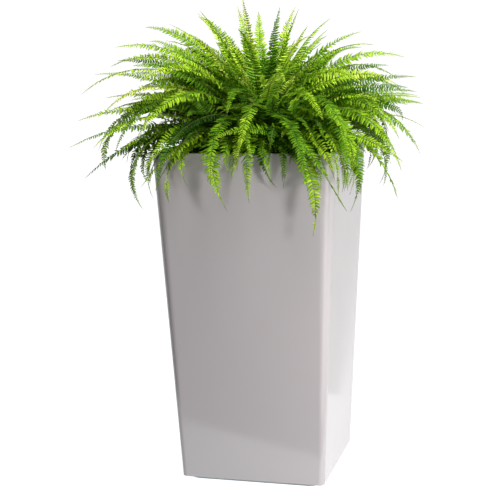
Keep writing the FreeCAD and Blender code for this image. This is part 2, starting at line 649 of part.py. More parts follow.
def liner_stopper():
    """The rubber stopper in the liner's floor, pulled out from below."""
    body = new_body("liner_stopper")
    fit = f"{size.stopper_radius} - {size.stopper_fit}"
    head_low = f"({LINER_BOTTOM} - {size.stopper_head_height})"
    top = f"({WATER_FLOOR} + {size.stopper_tip})"
    turned(body, "stopper", (
        ("0", head_low), (size.stopper_head_radius, head_low),
        (size.stopper_head_radius, LINER_BOTTOM), (fit, LINER_BOTTOM), (fit, top),
        ("0", top)))
    tab = new_sketch(body, "tab_outline", offset=f"{head_low} - {size.stopper_tab_height}")
    add_rectangle(tab, "0", "0", size.stopper_tab_length, size.stopper_tab_width)
    add_pad(body, "pull_tab", tab, size.stopper_tab_height)
    place(body, y=f"-{size.stopper_distance}")


def handle(name, side):
    """A handle that slides up out of the liner: a grip on two legs with end stops."""
    body = new_body(name)
    leg_low = f"({SLEEVE_TOP} - {SLEEVE_HEIGHT} + {size.sleeve_wall} + {size.slide_gap})"
    grip_low = f"({LINER_TOP} - {size.grip_height})"
    grip = new_sketch(body, f"{name}_grip_outline", offset=grip_low)
    add_rectangle(grip, "0", "0", size.grip_width, size.handle_span)
    add_pad(body, f"{name}_grip", grip, size.grip_height)
    rounded = level_edges(body.Shape, number(LINER_TOP))
    add_fillet(body, f"{name}_grip_edges", rounded, size.grip_round)
    legs = new_sketch(body, f"{name}_leg_outline", offset=leg_low)
    toes = new_sketch(body, f"{name}_toe_outline", offset=leg_low)
    for end in (-1, 1):
        y = f"({end} * {size.leg_spacing} / 2)"
        add_rectangle(legs, "0", y, size.leg_thickness, size.leg_width)
        add_rectangle(toes, "0", y, size.toe_thickness, size.toe_width)
    add_pad(body, f"{name}_legs", legs, f"{grip_low} - {leg_low}")
    add_pad(body, f"{name}_toes", toes, size.toe_height)
    place(body, x=f"{side} * {HANDLE_PLACE}")


# The reservoir's pieces.

def separator_plate():
    """The perforated false floor on its legs, with holes for the cups and the shaft."""
    body = new_body("separator_plate")
    plate_half = f"({liner_half(PLATE_BOTTOM)} - {size.plate_gap})"
    outline = rounded_sketch(body, "plate_outline", PLATE_BOTTOM, plate_half,
                             liner_corner(PLATE_BOTTOM))
    add_pad(body, "plate", outline, size.plate_thickness)
    cups = new_sketch(body, "cup_holes_outline", offset=PLATE_BOTTOM)
    for side_x, side_y in CUP_CORNERS:
        add_circle(cups, f"{side_x} * {size.cup_distance}",
                   f"{side_y} * {size.cup_distance}",
                   f"{size.cup_radius} + {size.cup_fit}")
    add_pocket(body, "cup_holes", cups, size.plate_thickness)
    shaft = new_sketch(body, "shaft_hole_outline", offset=PLATE_BOTTOM)
    add_rectangle(shaft, SHAFT_X, SHAFT_Y, f"({size.shaft_length} + 2 * {size.plate_gap})",
                  f"({size.shaft_width} + 2 * {size.plate_gap})")
    add_pocket(body, "shaft_hole", shaft, size.plate_thickness)
    seeps = new_sketch(body, "seep_outline", offset=PLATE_BOTTOM)
    for step in (-0.75, -0.45, -0.15, 0.15, 0.45, 0.75):
        along = f"{step} * {size.post_distance}"
        add_circle(seeps, along, "0", size.seep_radius)
        add_circle(seeps, along, f"-{size.post_distance}", size.seep_radius)
        add_circle(seeps, size.post_distance, along, size.seep_radius)
    add_pocket(body, "seep_holes", seeps, size.plate_thickness)
    posts = new_sketch(body, "post_outline", offset=WATER_FLOOR)
    for x, y in (("0", size.post_distance), ("0", f"-{size.post_distance}"),
                 (f"-{size.post_distance}", "0"), (size.post_distance, "0")):
        add_circle(posts, x, y, size.post_radius)
    add_pad(body, "posts", posts, size.reservoir_depth)


def wick_cup(name, side_x, side_y):
    """A slit cup that hangs in the plate and holds soil down in the water."""
    body = new_body(name)
    top = f"({PLATE_TOP} + {size.cup_lip_height})"
    foot = f"({PLATE_TOP} - {size.cup_depth})"
    lip = f"{size.cup_radius} + {size.cup_lip}"
    turned(body, name, (
        ("0", foot), (size.cup_foot_radius, foot), (size.cup_radius, PLATE_TOP),
        (lip, PLATE_TOP), (lip, top), (f"{size.cup_radius} - {size.cup_wall}", top),
        (f"{size.cup_foot_radius} - {size.cup_wall}", f"{foot} + {size.cup_wall}"),
        ("0", f"{foot} + {size.cup_wall}")))
    slits = new_sketch(body, f"{name}_slit_outline",
                       offset=f"{foot} + {size.cup_slit_start}")
    add_rectangle(slits, "0", "0", f"(3 * {size.cup_radius})", size.cup_slit_width)
    first = add_pocket(body, f"{name}_slit", slits, size.cup_slit_height)
    ring = body.newObject("PartDesign::PolarPattern", f"{name}_slits")
    ring.Originals = [first]
    ring.Axis = (slits, ["N_Axis"])
    ring.Angle = 120
    ring.Occurrences = 3
    body.Tip = ring
    document.recompute()
    place(body, f"{side_x} * {size.cup_distance}", f"{side_y} * {size.cup_distance}")


# The supply shaft, its collar and lid, and the water gauge.

def supply_shaft():
    """The two-cell tube: a filling channel on the left, the float's cell on the right."""
    body = new_body("supply_shaft")
    low = f"({WATER_FLOOR} + {size.shaft_lift})"
    height = f"({SHAFT_TOP} - {low})"
    outline = new_sketch(body, "shaft_outline", offset=low)
    add_rounded(outline, size.shaft_length, size.shaft_width, size.shaft_corner)
    add_pad(body, "shaft_tube", outline, height)
    cells = new_sketch(body, "cell_outline", offset=low)
    inner_width = f"({size.shaft_width} - 2 * {size.shaft_wall})"
    add_rectangle(cells, GAUGE_OFFSET, "0", size.float_cell, inner_width)
    add_rectangle(cells, f"-{FILL_OFFSET}", "0", FILL_CELL, inner_width)
    add_pocket(body, "cells", cells, height)
    inlets = new_sketch(body, "inlet_outline", offset=low)
    for offset in (GAUGE_OFFSET, f"-{FILL_OFFSET}"):
        add_rectangle(inlets, offset, "0", size.inlet_width,
                      f"(2 * {size.shaft_width})")
    add_pocket(body, "inlets", inlets, size.inlet_height)
    place(body, SHAFT_X, SHAFT_Y)


def shaft_collar():
    """The cap on the shaft: the filling hole, the rod's guide and the hinge lugs."""
    body = new_body("shaft_collar")
    length = f"({size.shaft_length} + 2 * {size.collar_overhang})"
    width = f"({size.shaft_width} + 2 * {size.collar_overhang})"
    outline = new_sketch(body, "collar_outline", offset=SHAFT_TOP)
    add_rounded(outline, length, width, f"{size.shaft_corner} + {size.collar_overhang}")
    add_pad(body, "collar_plate", outline, size.collar_thickness)
    holes = new_sketch(body, "collar_holes_outline", offset=SHAFT_TOP)
    add_rectangle(holes, f"-{FILL_OFFSET}", "0", size.fill_length, size.fill_width)
    add_circle(holes, GAUGE_OFFSET, "0", f"{size.rod_radius} + {size.rod_fit}")
    add_pocket(body, "collar_holes", holes, size.collar_thickness)
    lugs = new_sketch(body, "hinge_lug_outline", offset=COLLAR_TOP)
    for side in (-1, 1):
        add_rectangle(lugs, f"-{FILL_OFFSET} + {side} * ({LID_LENGTH} - {size.lug_length}) / 2",
                      f"{HINGE_Y} - {SHAFT_Y}", size.lug_length,
                      f"(2 * {size.knuckle_radius})")
    add_pad(body, "hinge_lugs", lugs, f"({HINGE_Z} - {COLLAR_TOP})")
    for name, start in (("left_lug_round", f"-{FILL_OFFSET} - {LID_LENGTH} / 2"),
                        ("right_lug_round",
                         f"-{FILL_OFFSET} + {LID_LENGTH} / 2 - {size.lug_length}")):
        round_top = new_sketch(body, f"{name}_outline", "YZ_Plane", start)
        add_circle(round_top, f"{HINGE_Y} - {SHAFT_Y}", HINGE_Z, size.knuckle_radius)
        add_pad(body, name, round_top, size.lug_length)
    bore = new_sketch(body, "hinge_bore_outline", "YZ_Plane",
                      f"-{FILL_OFFSET} - {LID_LENGTH} / 2")
    add_circle(bore, f"{HINGE_Y} - {SHAFT_Y}", HINGE_Z,
               f"{size.pin_radius} + {size.pin_fit}")
    add_pocket(body, "hinge_bore", bore, LID_LENGTH)
    place(body, SHAFT_X, SHAFT_Y)


def fill_lid():
    """The lid over the filling hole, with its knuckle and a lip for a finger."""
    body = new_body("fill_lid")
    back = f"({HINGE_Y} - {size.knuckle_radius} - {size.lid_gap})"
    front = f"({SHAFT_Y} - {LID_WIDTH} / 2)"
    reach = f"({back} - {front})"
    panel = new_sketch(body, "lid_outline", offset=LID_BOTTOM)
    add_rectangle(panel, "0", f"(-({HINGE_Y} - {back}) - {reach} / 2)", LID_LENGTH, reach)
    add_rectangle(panel, "0", f"({front} - {HINGE_Y} - {size.lid_lip} / 2)",
                  size.lid_lip_length, size.lid_lip)
    add_pad(body, "lid_panel", panel, size.lid_thickness)
    tongue = new_sketch(body, "tongue_outline", offset=LID_BOTTOM)
    add_rectangle(tongue, "0", f"(-({size.knuckle_radius} + {size.lid_gap}) / 2)",
                  KNUCKLE_LENGTH, f"({size.knuckle_radius} + {size.lid_gap})")
    add_pad(body, "tongue", tongue, size.lid_thickness)
    knuckle = new_sketch(body, "knuckle_outline", "YZ_Plane", f"-{KNUCKLE_LENGTH} / 2")
    add_circle(knuckle, "0", HINGE_Z, size.knuckle_radius)
    add_pad(body, "knuckle", knuckle, KNUCKLE_LENGTH)
    bore = new_sketch(body, "knuckle_bore_outline", "YZ_Plane", f"-{KNUCKLE_LENGTH} / 2")
    add_circle(bore, "0", HINGE_Z, f"{size.pin_radius} + {size.pin_fit}")
    add_pocket(body, "knuckle_bore", bore, KNUCKLE_LENGTH)
    place(body, FILL_X, HINGE_Y)


def add_cylinder(name, radius, height, x, y, z):
    """Makes a plain upright cylinder as a sub-part."""
    piece = document.addObject("Part::Cylinder", name)
    piece.Label = name
    piece.setExpression("Radius", radius)
    piece.setExpression("Height", height)
    place(piece, x, y, z)
    sub_parts.append(piece)
    return piece


def fill_lid_pin():
    """The hinge pin, along X through the lugs and the knuckle."""
    pin = add_cylinder("fill_lid_pin", size.pin_radius, LID_LENGTH,
                       f"{FILL_X} - {LID_LENGTH} / 2", HINGE_Y, HINGE_Z)
    pin.Placement = Placement(pin.Placement.Base, Rotation(Vector(0, 1, 0), 90))


def gauge_window():
    """The clear cap in which the gauge tip shows the water's level."""
    body = new_body("gauge_window")
    top = f"({COLLAR_TOP} + {WINDOW_HEIGHT})"
    bore = f"{size.window_radius} - {size.window_wall}"
    base_top = f"({COLLAR_TOP} + {size.window_base_height})"
    turned(body, "window", (
        (bore, COLLAR_TOP), (size.window_base_radius, COLLAR_TOP),
        (size.window_base_radius, base_top), (size.window_radius, base_top),
        (size.window_radius, top), ("0", top), ("0", f"{top} - {size.window_wall}"),
        (bore, f"{top} - {size.window_wall}")))
    add_fillet(body, "window_crown", level_edges(body.Shape, number(top)),
               f"{size.window_wall} * 2")
    place(body, GAUGE_X, SHAFT_Y)


def water_gauge():
    """The float, the rod on it and the coloured tip at the rod's end."""
    add_cylinder("gauge_float", size.float_radius, size.float_height,
                 GAUGE_X, SHAFT_Y, FLOAT_BOTTOM)
    rod_low = f"({FLOAT_BOTTOM} + {size.float_height})"
    add_cylinder("gauge_rod", size.rod_radius, f"({TIP_BOTTOM} - {rod_low})",
                 GAUGE_X, SHAFT_Y, rod_low)
    add_cylinder("gauge_tip", size.tip_radius, size.tip_height,
                 GAUGE_X, SHAFT_Y, TIP_BOTTOM)


# The fillings.

def filling_square(body, name, level):
    """Adds the outline of a filling at a level, a little inside the liner."""
    return rounded_sketch(body, name, level, f"({liner_half(level)} - {size.fill_gap})",
                          liner_corner(level))


def cut_shaft_room(body, name, low, height):
    """Cuts the room that the supply shaft takes out of a filling."""
    room = new_sketch(body, f"{name}_shaft_outline", offset=low)
    add_rectangle(room, SHAFT_X, SHAFT_Y, f"({size.shaft_length} + 2 * {size.fill_gap})",
                  f"({size.shaft_width} + 2 * {size.fill_gap})")
    add_pocket(body, f"{name}_shaft_room", room, height)


def drainage_layer():
    """The layer of drainage stones on the plate, round the wick cups."""
    body = new_body("drainage_layer")
    add_loft(body, "stones", [filling_square(body, "stones_low", PLATE_TOP),
                              filling_square(body, "stones_high", SOIL_BOTTOM)])
    cups = new_sketch(body, "stones_cups_outline", offset=PLATE_TOP)
    for side_x, side_y in CUP_CORNERS:
        add_circle(cups, f"{side_x} * {size.cup_distance}",
                   f"{side_y} * {size.cup_distance}",
                   f"{size.cup_radius} + {size.cup_lip} + {size.fill_gap}")
    add_pocket(body, "stones_cups", cups, size.drainage_depth)
    cut_shaft_room(body, "stones", PLATE_TOP, size.drainage_depth)


def soil():
    """The soil: its main block, its mound and the four columns in the wick cups."""
    body = new_body("soil")
    add_loft(body, "soil_block", [filling_square(body, "soil_low", SOIL_BOTTOM),
                                  filling_square(body, "soil_high", SOIL_TOP)])
    turned(body, "mound", (("0", SOIL_TOP), (size.soil_foot_radius, SOIL_TOP),
                           (size.soil_mound_radius, MOUND_TOP), ("0", MOUND_TOP)))
    columns = new_sketch(body, "column_outline",
                         offset=f"{PLATE_TOP} + {size.cup_lip_height}")
    wicks = new_sketch(body, "wick_outline", offset=f"{PLATE_TOP} - {size.cup_depth}"
                                                    f" + 2 * {size.cup_wall}")
    for side_x, side_y in CUP_CORNERS:
        x, y = f"{side_x} * {size.cup_distance}", f"{side_y} * {size.cup_distance}"
        add_circle(columns, x, y, f"{size.cup_radius} + {size.cup_lip}")
        add_circle(wicks, x, y, f"{size.cup_foot_radius} - {size.cup_wall}"
                                f" - {size.fill_gap}")
    add_pad(body, "columns", columns, f"{size.drainage_depth} - {size.cup_lip_height}")
    add_pad(body, "wicks", wicks, f"{size.cup_depth} + {size.cup_lip_height}"
                                  f" - 2 * {size.cup_wall}")
    cut_shaft_room(body, "soil", SOIL_BOTTOM, f"{MOUND_TOP} - {SOIL_BOTTOM}")
    sleeve_low = f"({SLEEVE_TOP} - {SLEEVE_HEIGHT} - {size.fill_gap})"
    finger_low = f"({SOIL_TOP} - {size.finger_depth})"
    sleeves = new_sketch(body, "soil_sleeve_outline", offset=sleeve_low)
    fingers = new_sketch(body, "finger_outline", offset=finger_low)
    room_depth = f"({SLEEVE_DEPTH} + 2 * {size.fill_gap})"
    room_length = f"({SLEEVE_LENGTH} + 2 * {size.fill_gap})"
    for _, side in handle_sides():
        x = f"({side} * {HANDLE_PLACE})"
        for end in (-1, 1):
            add_rectangle(sleeves, x, f"({end} * {size.leg_spacing} / 2)",
                          room_depth, room_length)
        add_rectangle(fingers, x, "0", room_depth,
                      f"({size.leg_spacing} - {SLEEVE_LENGTH})")
    add_pocket(body, "sleeve_rooms", sleeves, f"{MOUND_TOP} - {sleeve_low}")
    add_pocket(body, "finger_rooms", fingers, f"{MOUND_TOP} - {finger_low}")


def fern_crown():
    """The fern's crown, the low dome from which the fronds grow."""
    body = new_body("fern_crown")
    top = f"({MOUND_TOP} + {size.crown_height})"
    turned(body, "crown", (("0", MOUND_TOP), (size.crown_radius, MOUND_TOP),
                           (f"{size.crown_radius} * 0.8",
                            f"{MOUND_TOP} + {size.crown_height} * 0.6"),
                           (f"{size.crown_radius} * 0.45", top), ("0", top)))


# The fronds.

def rim_reach(turn):
    """Returns how much further the rim is in a direction than straight ahead."""
    across, along = abs(math.cos(turn)), abs(math.sin(turn))
    return (across ** 8 + along ** 8) ** (-1 / 8)


def frond_arch(age, turn, chance):
    """Returns the points and directions of a frond's arch, as if it left along +X.

    Age runs from 0, the oldest and lowest, to 1, the youngest.  An old frond leaves
    the crown low, arches over the rim and hangs; a young one stands nearly upright.
    Turn is the frond's direction round the crown: towards the handles, at the left
    and right, the old fronds rise more steeply and hang less.  Chance is an angle
    that makes each frond a little different in length and sideways sweep.
    """
    sideways = math.cos(turn) ** 2
    low_rise = number(size.front_rise) + number(size.side_rise) * sideways
    low_fall = number(size.side_fall) * sideways - number(size.front_fall)
    rise = math.radians(low_rise + (number(size.young_rise) - low_rise) * age)
    fall = math.radians(low_fall + (number(size.young_fall) - low_fall) * age ** 1.8)
    old, young = number(size.old_frond_length), number(size.young_frond_length)
    length = old + (young - old) * age + number(size.frond_bonus) * math.sin(math.pi * age)
    length *= 1 + (rim_reach(turn) - 1) * (1 - age) ** 2
    length *= 1 - number(size.left_gain) * math.cos(turn)
    length *= 1 - number(size.length_spread) * math.sin(CHANCE_RATIO * chance) ** 2
    sway = number(size.frond_sway) * length * math.sin(chance) * (1 - age ** 3)
    reach = number(size.crown_radius) * (0.95 - 0.4 * age)
    level = number(MOUND_TOP) + number(size.crown_height) * (0.25 + 0.7 * age)
    between_points = 6
    pieces = between_points * SECTION_COUNT
    arch = []
    for step in range(pieces + 1):
        angle = rise + (fall - rise) * (step / pieces) ** 1.35
        if step % between_points == 0:
            drift = sway * (step / pieces) ** 2
            arch.append((Vector(reach, drift, level), angle))
        reach += length / pieces * math.cos(angle)
        level += length / pieces * math.sin(angle)
    return arch


def blade_width(along):
    """Returns a frond's width at a share of its length: a stalk, a blade and a tip."""
    stalk, widest = number(size.stalk_width), number(size.frond_width)
    opening = min(1, max(0, (along - 0.12) / 0.18))
    closing = min(1, (1 - along) / 0.45)
    return stalk + (widest - stalk) * math.sin(opening * math.pi / 2) * closing ** 0.7


def frond(age, turn, chance):
    """Returns one frond: a thin arched blade, turned to its place round the crown.

    An old blade that leaves to the left or right is rolled about its midrib, so that
    its upper side looks a little to the front.
    """
    thickness = number(size.frond_thickness)
    full_roll = math.radians(number(size.frond_roll)) * math.cos(turn) * (1 - age)
    outlines = []
    for step, (point, angle) in enumerate(frond_arch(age, turn, chance)):
        along = step / SECTION_COUNT
        half = blade_width(along) / 2
        roll = full_roll * min(1, along / 0.6)
        across = Vector(0, 1, 0)
        upward = Vector(-math.sin(angle), 0, math.cos(angle))
        side = (across * math.cos(roll) + upward * math.sin(roll)) * half
        normal = (upward * math.cos(roll) - across * math.sin(roll)) * (thickness / 2)
        corners = [point - side - normal, point + side - normal,
                   point + side + normal, point - side + normal]
        outlines.append(Part.makePolygon(corners + corners[:1]))
    blade = Part.makeLoft(outlines, True, True)
    blade.rotate(Vector(0, 0, 0), Vector(0, 0, 1), math.degrees(turn))
    return blade


def fronds():
    """The fronds, oldest first, each turned from the last by the golden angle."""
    count = int(number(size.frond_count))
    groups = ("fronds_low", "fronds_outer", "fronds_middle", "fronds_top")
    blades = {name: [] for name in groups}
    for place_number in range(count):
        age = (place_number + 0.5) / count
        name = groups[int(age * len(groups))]
        turn = math.radians(place_number * GOLDEN_ANGLE)
        blades[name].append(frond(age, turn, place_number * CHANCE_STEP))
    for name in groups:
        feature = document.addObject("Part::Feature", name)
        feature.Shape = Part.makeCompound(blades[name])
        feature.Placement = Placement(Vector(0, 0, 0), Rotation())
        feature.Label = name
        sub_parts.append(feature)


def check_document():
    """Stops if any object of the document has failed or any sub-part isn't sound."""
    document.recompute()
    for item in document.Objects:
        if "Invalid" in item.State or "Error" in item.State:
            raise RuntimeError(f"{item.Label} is in a bad state: {item.State}")
    for piece in sub_parts:
        if piece.Shape.isNull() or not piece.Shape.isValid():
            raise RuntimeError(f"{piece.Label} has no sound shape")


outer_shell()
foot_ring()
foot_screws()
shell_drain_plug()
shell_plug_seal()
liner()
liner_stopper()
for handle_name, handle_side in handle_sides():
    handle(handle_name, handle_side)
separator_plate()
for cup_number, (cup_x, cup_y) in enumerate(CUP_CORNERS, start=1):
    wick_cup(f"wick_cup_{cup_number}", cup_x, cup_y)
supply_shaft()
shaft_collar()
fill_lid()
fill_lid_pin()
gauge_window()
water_gauge()
drainage_layer()
soil()
fern_crown()
fronds()
check_document()

os.makedirs("parts", exist_ok=True)
for piece in sub_parts:
    piece.Shape.exportStep(f"parts/{piece.Label}.step")
    box = piece.Shape.BoundBox
    print(f"{piece.Label}: {len(piece.Shape.Solids)} solids, {piece.Shape.Volume:.0f} mm3,"
          f" x {box.XMin:.1f}..{box.XMax:.1f}, y {box.YMin:.1f}..{box.YMax:.1f},"
          f" z {box.ZMin:.1f}..{box.ZMax:.1f}")
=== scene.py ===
# %% [markdown]
# # A self-watering planter with a sword fern
#
# This file dresses a finished construction model. Nothing of it is moved here. The
# cells below give each piece its finish, and grow what a construction model can't
# hold: the fern's leaflets, its crown and the loose soil.

# %% Load the frame
import math

import bpy
import numpy as np
from mathutils import Matrix, Vector


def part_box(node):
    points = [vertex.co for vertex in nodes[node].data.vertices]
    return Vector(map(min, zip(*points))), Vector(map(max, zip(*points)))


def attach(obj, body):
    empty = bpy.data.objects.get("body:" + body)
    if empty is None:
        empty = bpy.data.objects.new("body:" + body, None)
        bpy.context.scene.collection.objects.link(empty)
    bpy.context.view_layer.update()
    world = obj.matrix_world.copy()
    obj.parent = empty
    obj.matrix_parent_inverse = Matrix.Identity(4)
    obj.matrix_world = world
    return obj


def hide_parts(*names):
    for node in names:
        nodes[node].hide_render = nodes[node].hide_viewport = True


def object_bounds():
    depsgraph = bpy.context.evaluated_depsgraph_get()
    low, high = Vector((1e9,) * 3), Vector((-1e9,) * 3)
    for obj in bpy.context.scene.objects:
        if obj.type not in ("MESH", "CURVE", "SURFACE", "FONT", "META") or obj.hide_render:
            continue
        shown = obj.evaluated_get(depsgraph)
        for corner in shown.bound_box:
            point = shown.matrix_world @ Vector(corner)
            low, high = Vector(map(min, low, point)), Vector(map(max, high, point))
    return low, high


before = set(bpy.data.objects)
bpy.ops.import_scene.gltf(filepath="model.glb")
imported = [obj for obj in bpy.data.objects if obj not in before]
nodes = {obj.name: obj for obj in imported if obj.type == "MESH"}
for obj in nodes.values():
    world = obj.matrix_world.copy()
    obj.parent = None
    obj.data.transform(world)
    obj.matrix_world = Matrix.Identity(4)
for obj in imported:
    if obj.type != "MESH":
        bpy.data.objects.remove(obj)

cad_box = [list(corner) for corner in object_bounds()]
print("pieces from the frame:", len(nodes))

# %% [markdown]
# ## Measures that the frame gives
#
# A piece that is built here has to sit exactly on the hard pieces.  So its place is
# read from their boxes, and never typed in twice.  The rim's width is also the yard
# stick for the camera, which stands several rim widths away.

# %% Measures
rim_low, rim_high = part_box("outer_shell")
crown_low, crown_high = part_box("fern_crown")
soil_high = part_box("soil")[1]
rim_width = rim_high.x - rim_low.x
rim_level = rim_high.z
mound_top = crown_low.z
crown_radius = (crown_high.x - crown_low.x) / 2
crown_height = crown_high.z - crown_low.z
print(f"rim {rim_width:.3f} m wide at {rim_level:.3f} m")

# %% [markdown]
# ## The camera
#
# A long lens far away keeps the planter's sides nearly straight, as in a product
# picture.  The camera stands to the right of the front face and a little above the
# rim, and looks slightly down.  Its axes are worked out from three angles: the
# direction of view, the tilt down and a small roll.

# %% The camera
camera_place = Vector((1.7327, -6.7092, 2.4276)) * rim_width
camera_place.z += rim_low.z
view_turn = math.radians(105.43)
view_tilt = math.radians(9.57)
view_roll = math.radians(-1.38)
sensor_width = 36.0
lens_length = 90.9

look = Vector((math.cos(view_tilt) * math.cos(view_turn),
               math.cos(view_tilt) * math.sin(view_turn), -math.sin(view_tilt)))
level_right = Vector((math.sin(view_turn), -math.cos(view_turn), 0))
level_up = level_right.cross(look)
right = level_right * math.cos(view_roll) + level_up * math.sin(view_roll)
up = level_up * math.cos(view_roll) - level_right * math.sin(view_roll)

camera_data = bpy.data.cameras.new("product_camera")
camera_data.sensor_width = sensor_width
camera_data.lens = lens_length
camera = bpy.data.objects.new("product_camera", camera_data)
axes = Matrix((right, up, -look)).transposed().to_4x4()
camera.matrix_world = Matrix.Translation(camera_place) @ axes
bpy.context.scene.collection.objects.link(camera)
bpy.context.scene.camera = camera
bpy.context.scene.view_settings.view_transform = "Standard"
print("camera at", [round(value, 3) for value in camera_place])

# %% [markdown]
# ## Small helpers for node materials
#
# Each finish is a node tree on one Principled shader.  Plain numbers are set on the
# shader's own sockets.  What varies over the surface, such as grain or a tint, is
# linked.  These helpers keep the recipes short enough to read.

# %% Material helpers
def new_finish(name, colour, roughness, **sockets):
    """Starts a material with plain numbers on its Principled shader."""
    material = bpy.data.materials.new(name)
    material.use_nodes = True
    shader = material.node_tree.nodes["Principled BSDF"]
    shader.inputs["Base Color"].default_value = (*colour, 1)
    shader.inputs["Roughness"].default_value = roughness
    for socket, value in sockets.items():
        shader.inputs[socket.replace("_", " ")].default_value = value
    return material, material.node_tree, shader


def add_node(tree, kind, **settings):
    """Adds a node; settings name its properties or, in title case, its sockets."""
    node = tree.nodes.new(kind)
    for key, value in settings.items():
        socket = key.replace("_", " ")
        if socket in node.inputs:
            node.inputs[socket].default_value = value
        else:
            setattr(node, key, value)
    return node


def object_noise(tree, scale, detail=4.0, roughness=0.55):
    """Adds a noise that is fixed to the object, so that it has a real size."""
    place = add_node(tree, "ShaderNodeTexCoord")
    noise = add_node(tree, "ShaderNodeTexNoise", Scale=scale, Detail=detail,
                     Roughness=roughness)
    tree.links.new(place.outputs["Object"], noise.inputs["Vector"])
    return noise


def spread(tree, source, low, high):
    """Maps a noise, which stays near the middle, on to a range of values."""
    mapped = add_node(tree, "ShaderNodeMapRange")
    mapped.inputs["From Min"].default_value = 0.3
    mapped.inputs["From Max"].default_value = 0.7
    mapped.inputs["To Min"].default_value = low
    mapped.inputs["To Max"].default_value = high
    tree.links.new(source, mapped.inputs["Value"])
    return mapped.outputs["Result"]


def ramp(tree, source, stops):
    """Turns a value into a colour through stops of (place, colour)."""
    node = add_node(tree, "ShaderNodeValToRGB")
    points = node.color_ramp.elements
    while len(points) < len(stops):
        points.new(0.5)
    for point, (place, colour) in zip(points, stops):
        point.position = place
        point.color = (*colour, 1)
    tree.links.new(source, node.inputs["Fac"])
    return node.outputs["Color"]


def vary_colour(tree, shader, source, stops):
    """Lets a value pick the shader's colour through stops of (place, colour)."""
    tree.links.new(ramp(tree, source, stops), shader.inputs["Base Color"])


def vary_gloss(tree, shader, source, low, high):
    """Lets a noise move the shader's roughness between two values."""
    tree.links.new(spread(tree, source, low, high), shader.inputs["Roughness"])


def read_marks(tree):
    """The three marks of a gathered mesh: tone, underside and stem."""
    marks = add_node(tree, "ShaderNodeAttribute", attribute_name="marks")
    parts = add_node(tree, "ShaderNodeSeparateColor")
    tree.links.new(marks.outputs["Color"], parts.inputs["Color"])
    return parts.outputs["Red"], parts.outputs["Green"], parts.outputs["Blue"]


def add_bump(tree, shader, height, distance, strength=1.0):
    """Raises the surface by a height field, given in metres of depth."""
    bump = add_node(tree, "ShaderNodeBump", Strength=strength, Distance=distance)
    tree.links.new(height, bump.inputs["Height"])
    tree.links.new(bump.outputs["Normal"], shader.inputs["Normal"])


def dress(material, *names):
    """Gives a finish to nodes of the frame."""
    for name in names:
        slots = nodes[name].data.materials
        slots.clear()
        slots.append(material)

# %% [markdown]
# ## The glossy shell
#
# The shell is injection moulded in one piece and leaves a polished mould, so it shines
# like lacquer.  Such plastic is never quite flat: it has a very slight waviness a few
# centimetres long, which bends reflections, and a faint film of handling marks that
# changes the gloss from place to place.  A coat layer could stand for the gloss, but a low
# roughness on the plastic itself is what it really is.

# %% The shell's finish
shell_colour = (0.672, 0.626, 0.634)


def glossy_shell():
    """Polished light-grey plastic, with slight waves and a film of handling marks."""
    material, tree, shader = new_finish("glossy_shell", shell_colour, 0.12,
                                        IOR=1.5)
    film = object_noise(tree, 9.0, detail=6.0)
    vary_gloss(tree, shader, film.outputs["Fac"], 0.09, 0.17)
    deeper = tuple(value * 0.985 for value in shell_colour)
    vary_colour(tree, shader, object_noise(tree, 2.5).outputs["Fac"],
                ((0.35, shell_colour), (0.65, deeper)))
    waves = object_noise(tree, 14.0, detail=1.0)
    add_bump(tree, shader, waves.outputs["Fac"], 0.0004, strength=0.12)
    return material


dress(glossy_shell(), "outer_shell")

# %% [markdown]
# ## The moulded inner pieces
#
# The liner, the shaft and the plate are cheaper mouldings in dark plastic, with a
# spark-eroded texture: a fine, even grain that scatters light.  The handles, collar
# and lid are the same plastic in a lighter grey.  One recipe serves both, with the
# colour and the grain's size as its arguments.

# %% Grained plastic
def grained_plastic(name, colour, roughness, grain=900.0):
    """Moulded plastic with a fine even grain and slightly uneven gloss."""
    material, tree, shader = new_finish(name, colour, roughness)
    gloss = object_noise(tree, 30.0)
    vary_gloss(tree, shader, gloss.outputs["Fac"], roughness - 0.06, roughness + 0.06)
    light = tuple(min(1.0, value * 1.25 + 0.004) for value in colour)
    vary_colour(tree, shader, object_noise(tree, 18.0).outputs["Fac"],
                ((0.3, colour), (0.75, light)))
    add_bump(tree, shader, object_noise(tree, grain, detail=2.0).outputs["Fac"],
             0.0002, strength=0.5)
    return material


dark_plastic = grained_plastic("dark_plastic", (0.028, 0.029, 0.031), 0.48)
grey_plastic = grained_plastic("grey_plastic", (0.12, 0.12, 0.125), 0.42)
foot_plastic = grained_plastic("foot_plastic", (0.36, 0.345, 0.35), 0.38)
pale_plastic = grained_plastic("pale_plastic", (0.72, 0.72, 0.69), 0.5)
dress(dark_plastic, "liner", "separator_plate", "wick_cup_1", "wick_cup_2",
      "wick_cup_3", "wick_cup_4", "supply_shaft", "shell_drain_plug")
dress(grey_plastic, "handle_left", "handle_right", "shaft_collar", "fill_lid")
dress(foot_plastic, "foot_ring")
dress(pale_plastic, "gauge_float", "gauge_rod")

# %% [markdown]
# ## Rubber, steel and the water gauge
#
# The seal and the stopper are soft black rubber: nearly matt, with a powdery bloom.
# The screws and the hinge pin are zinc-plated steel, drawn along their length.  The
# gauge has a clear cap, so that its red tip can be read from above.

# %% Rubber, steel, clear cap and red tip
def soft_rubber():
    """Black rubber with a pale bloom in patches."""
    material, tree, shader = new_finish("soft_rubber", (0.02, 0.02, 0.02), 0.75)
    bloom = object_noise(tree, 60.0, detail=5.0)
    vary_colour(tree, shader, bloom.outputs["Fac"],
                ((0.4, (0.016, 0.016, 0.016)), (0.8, (0.05, 0.05, 0.048))))
    add_bump(tree, shader, bloom.outputs["Fac"], 0.0002, strength=0.3)
    return material


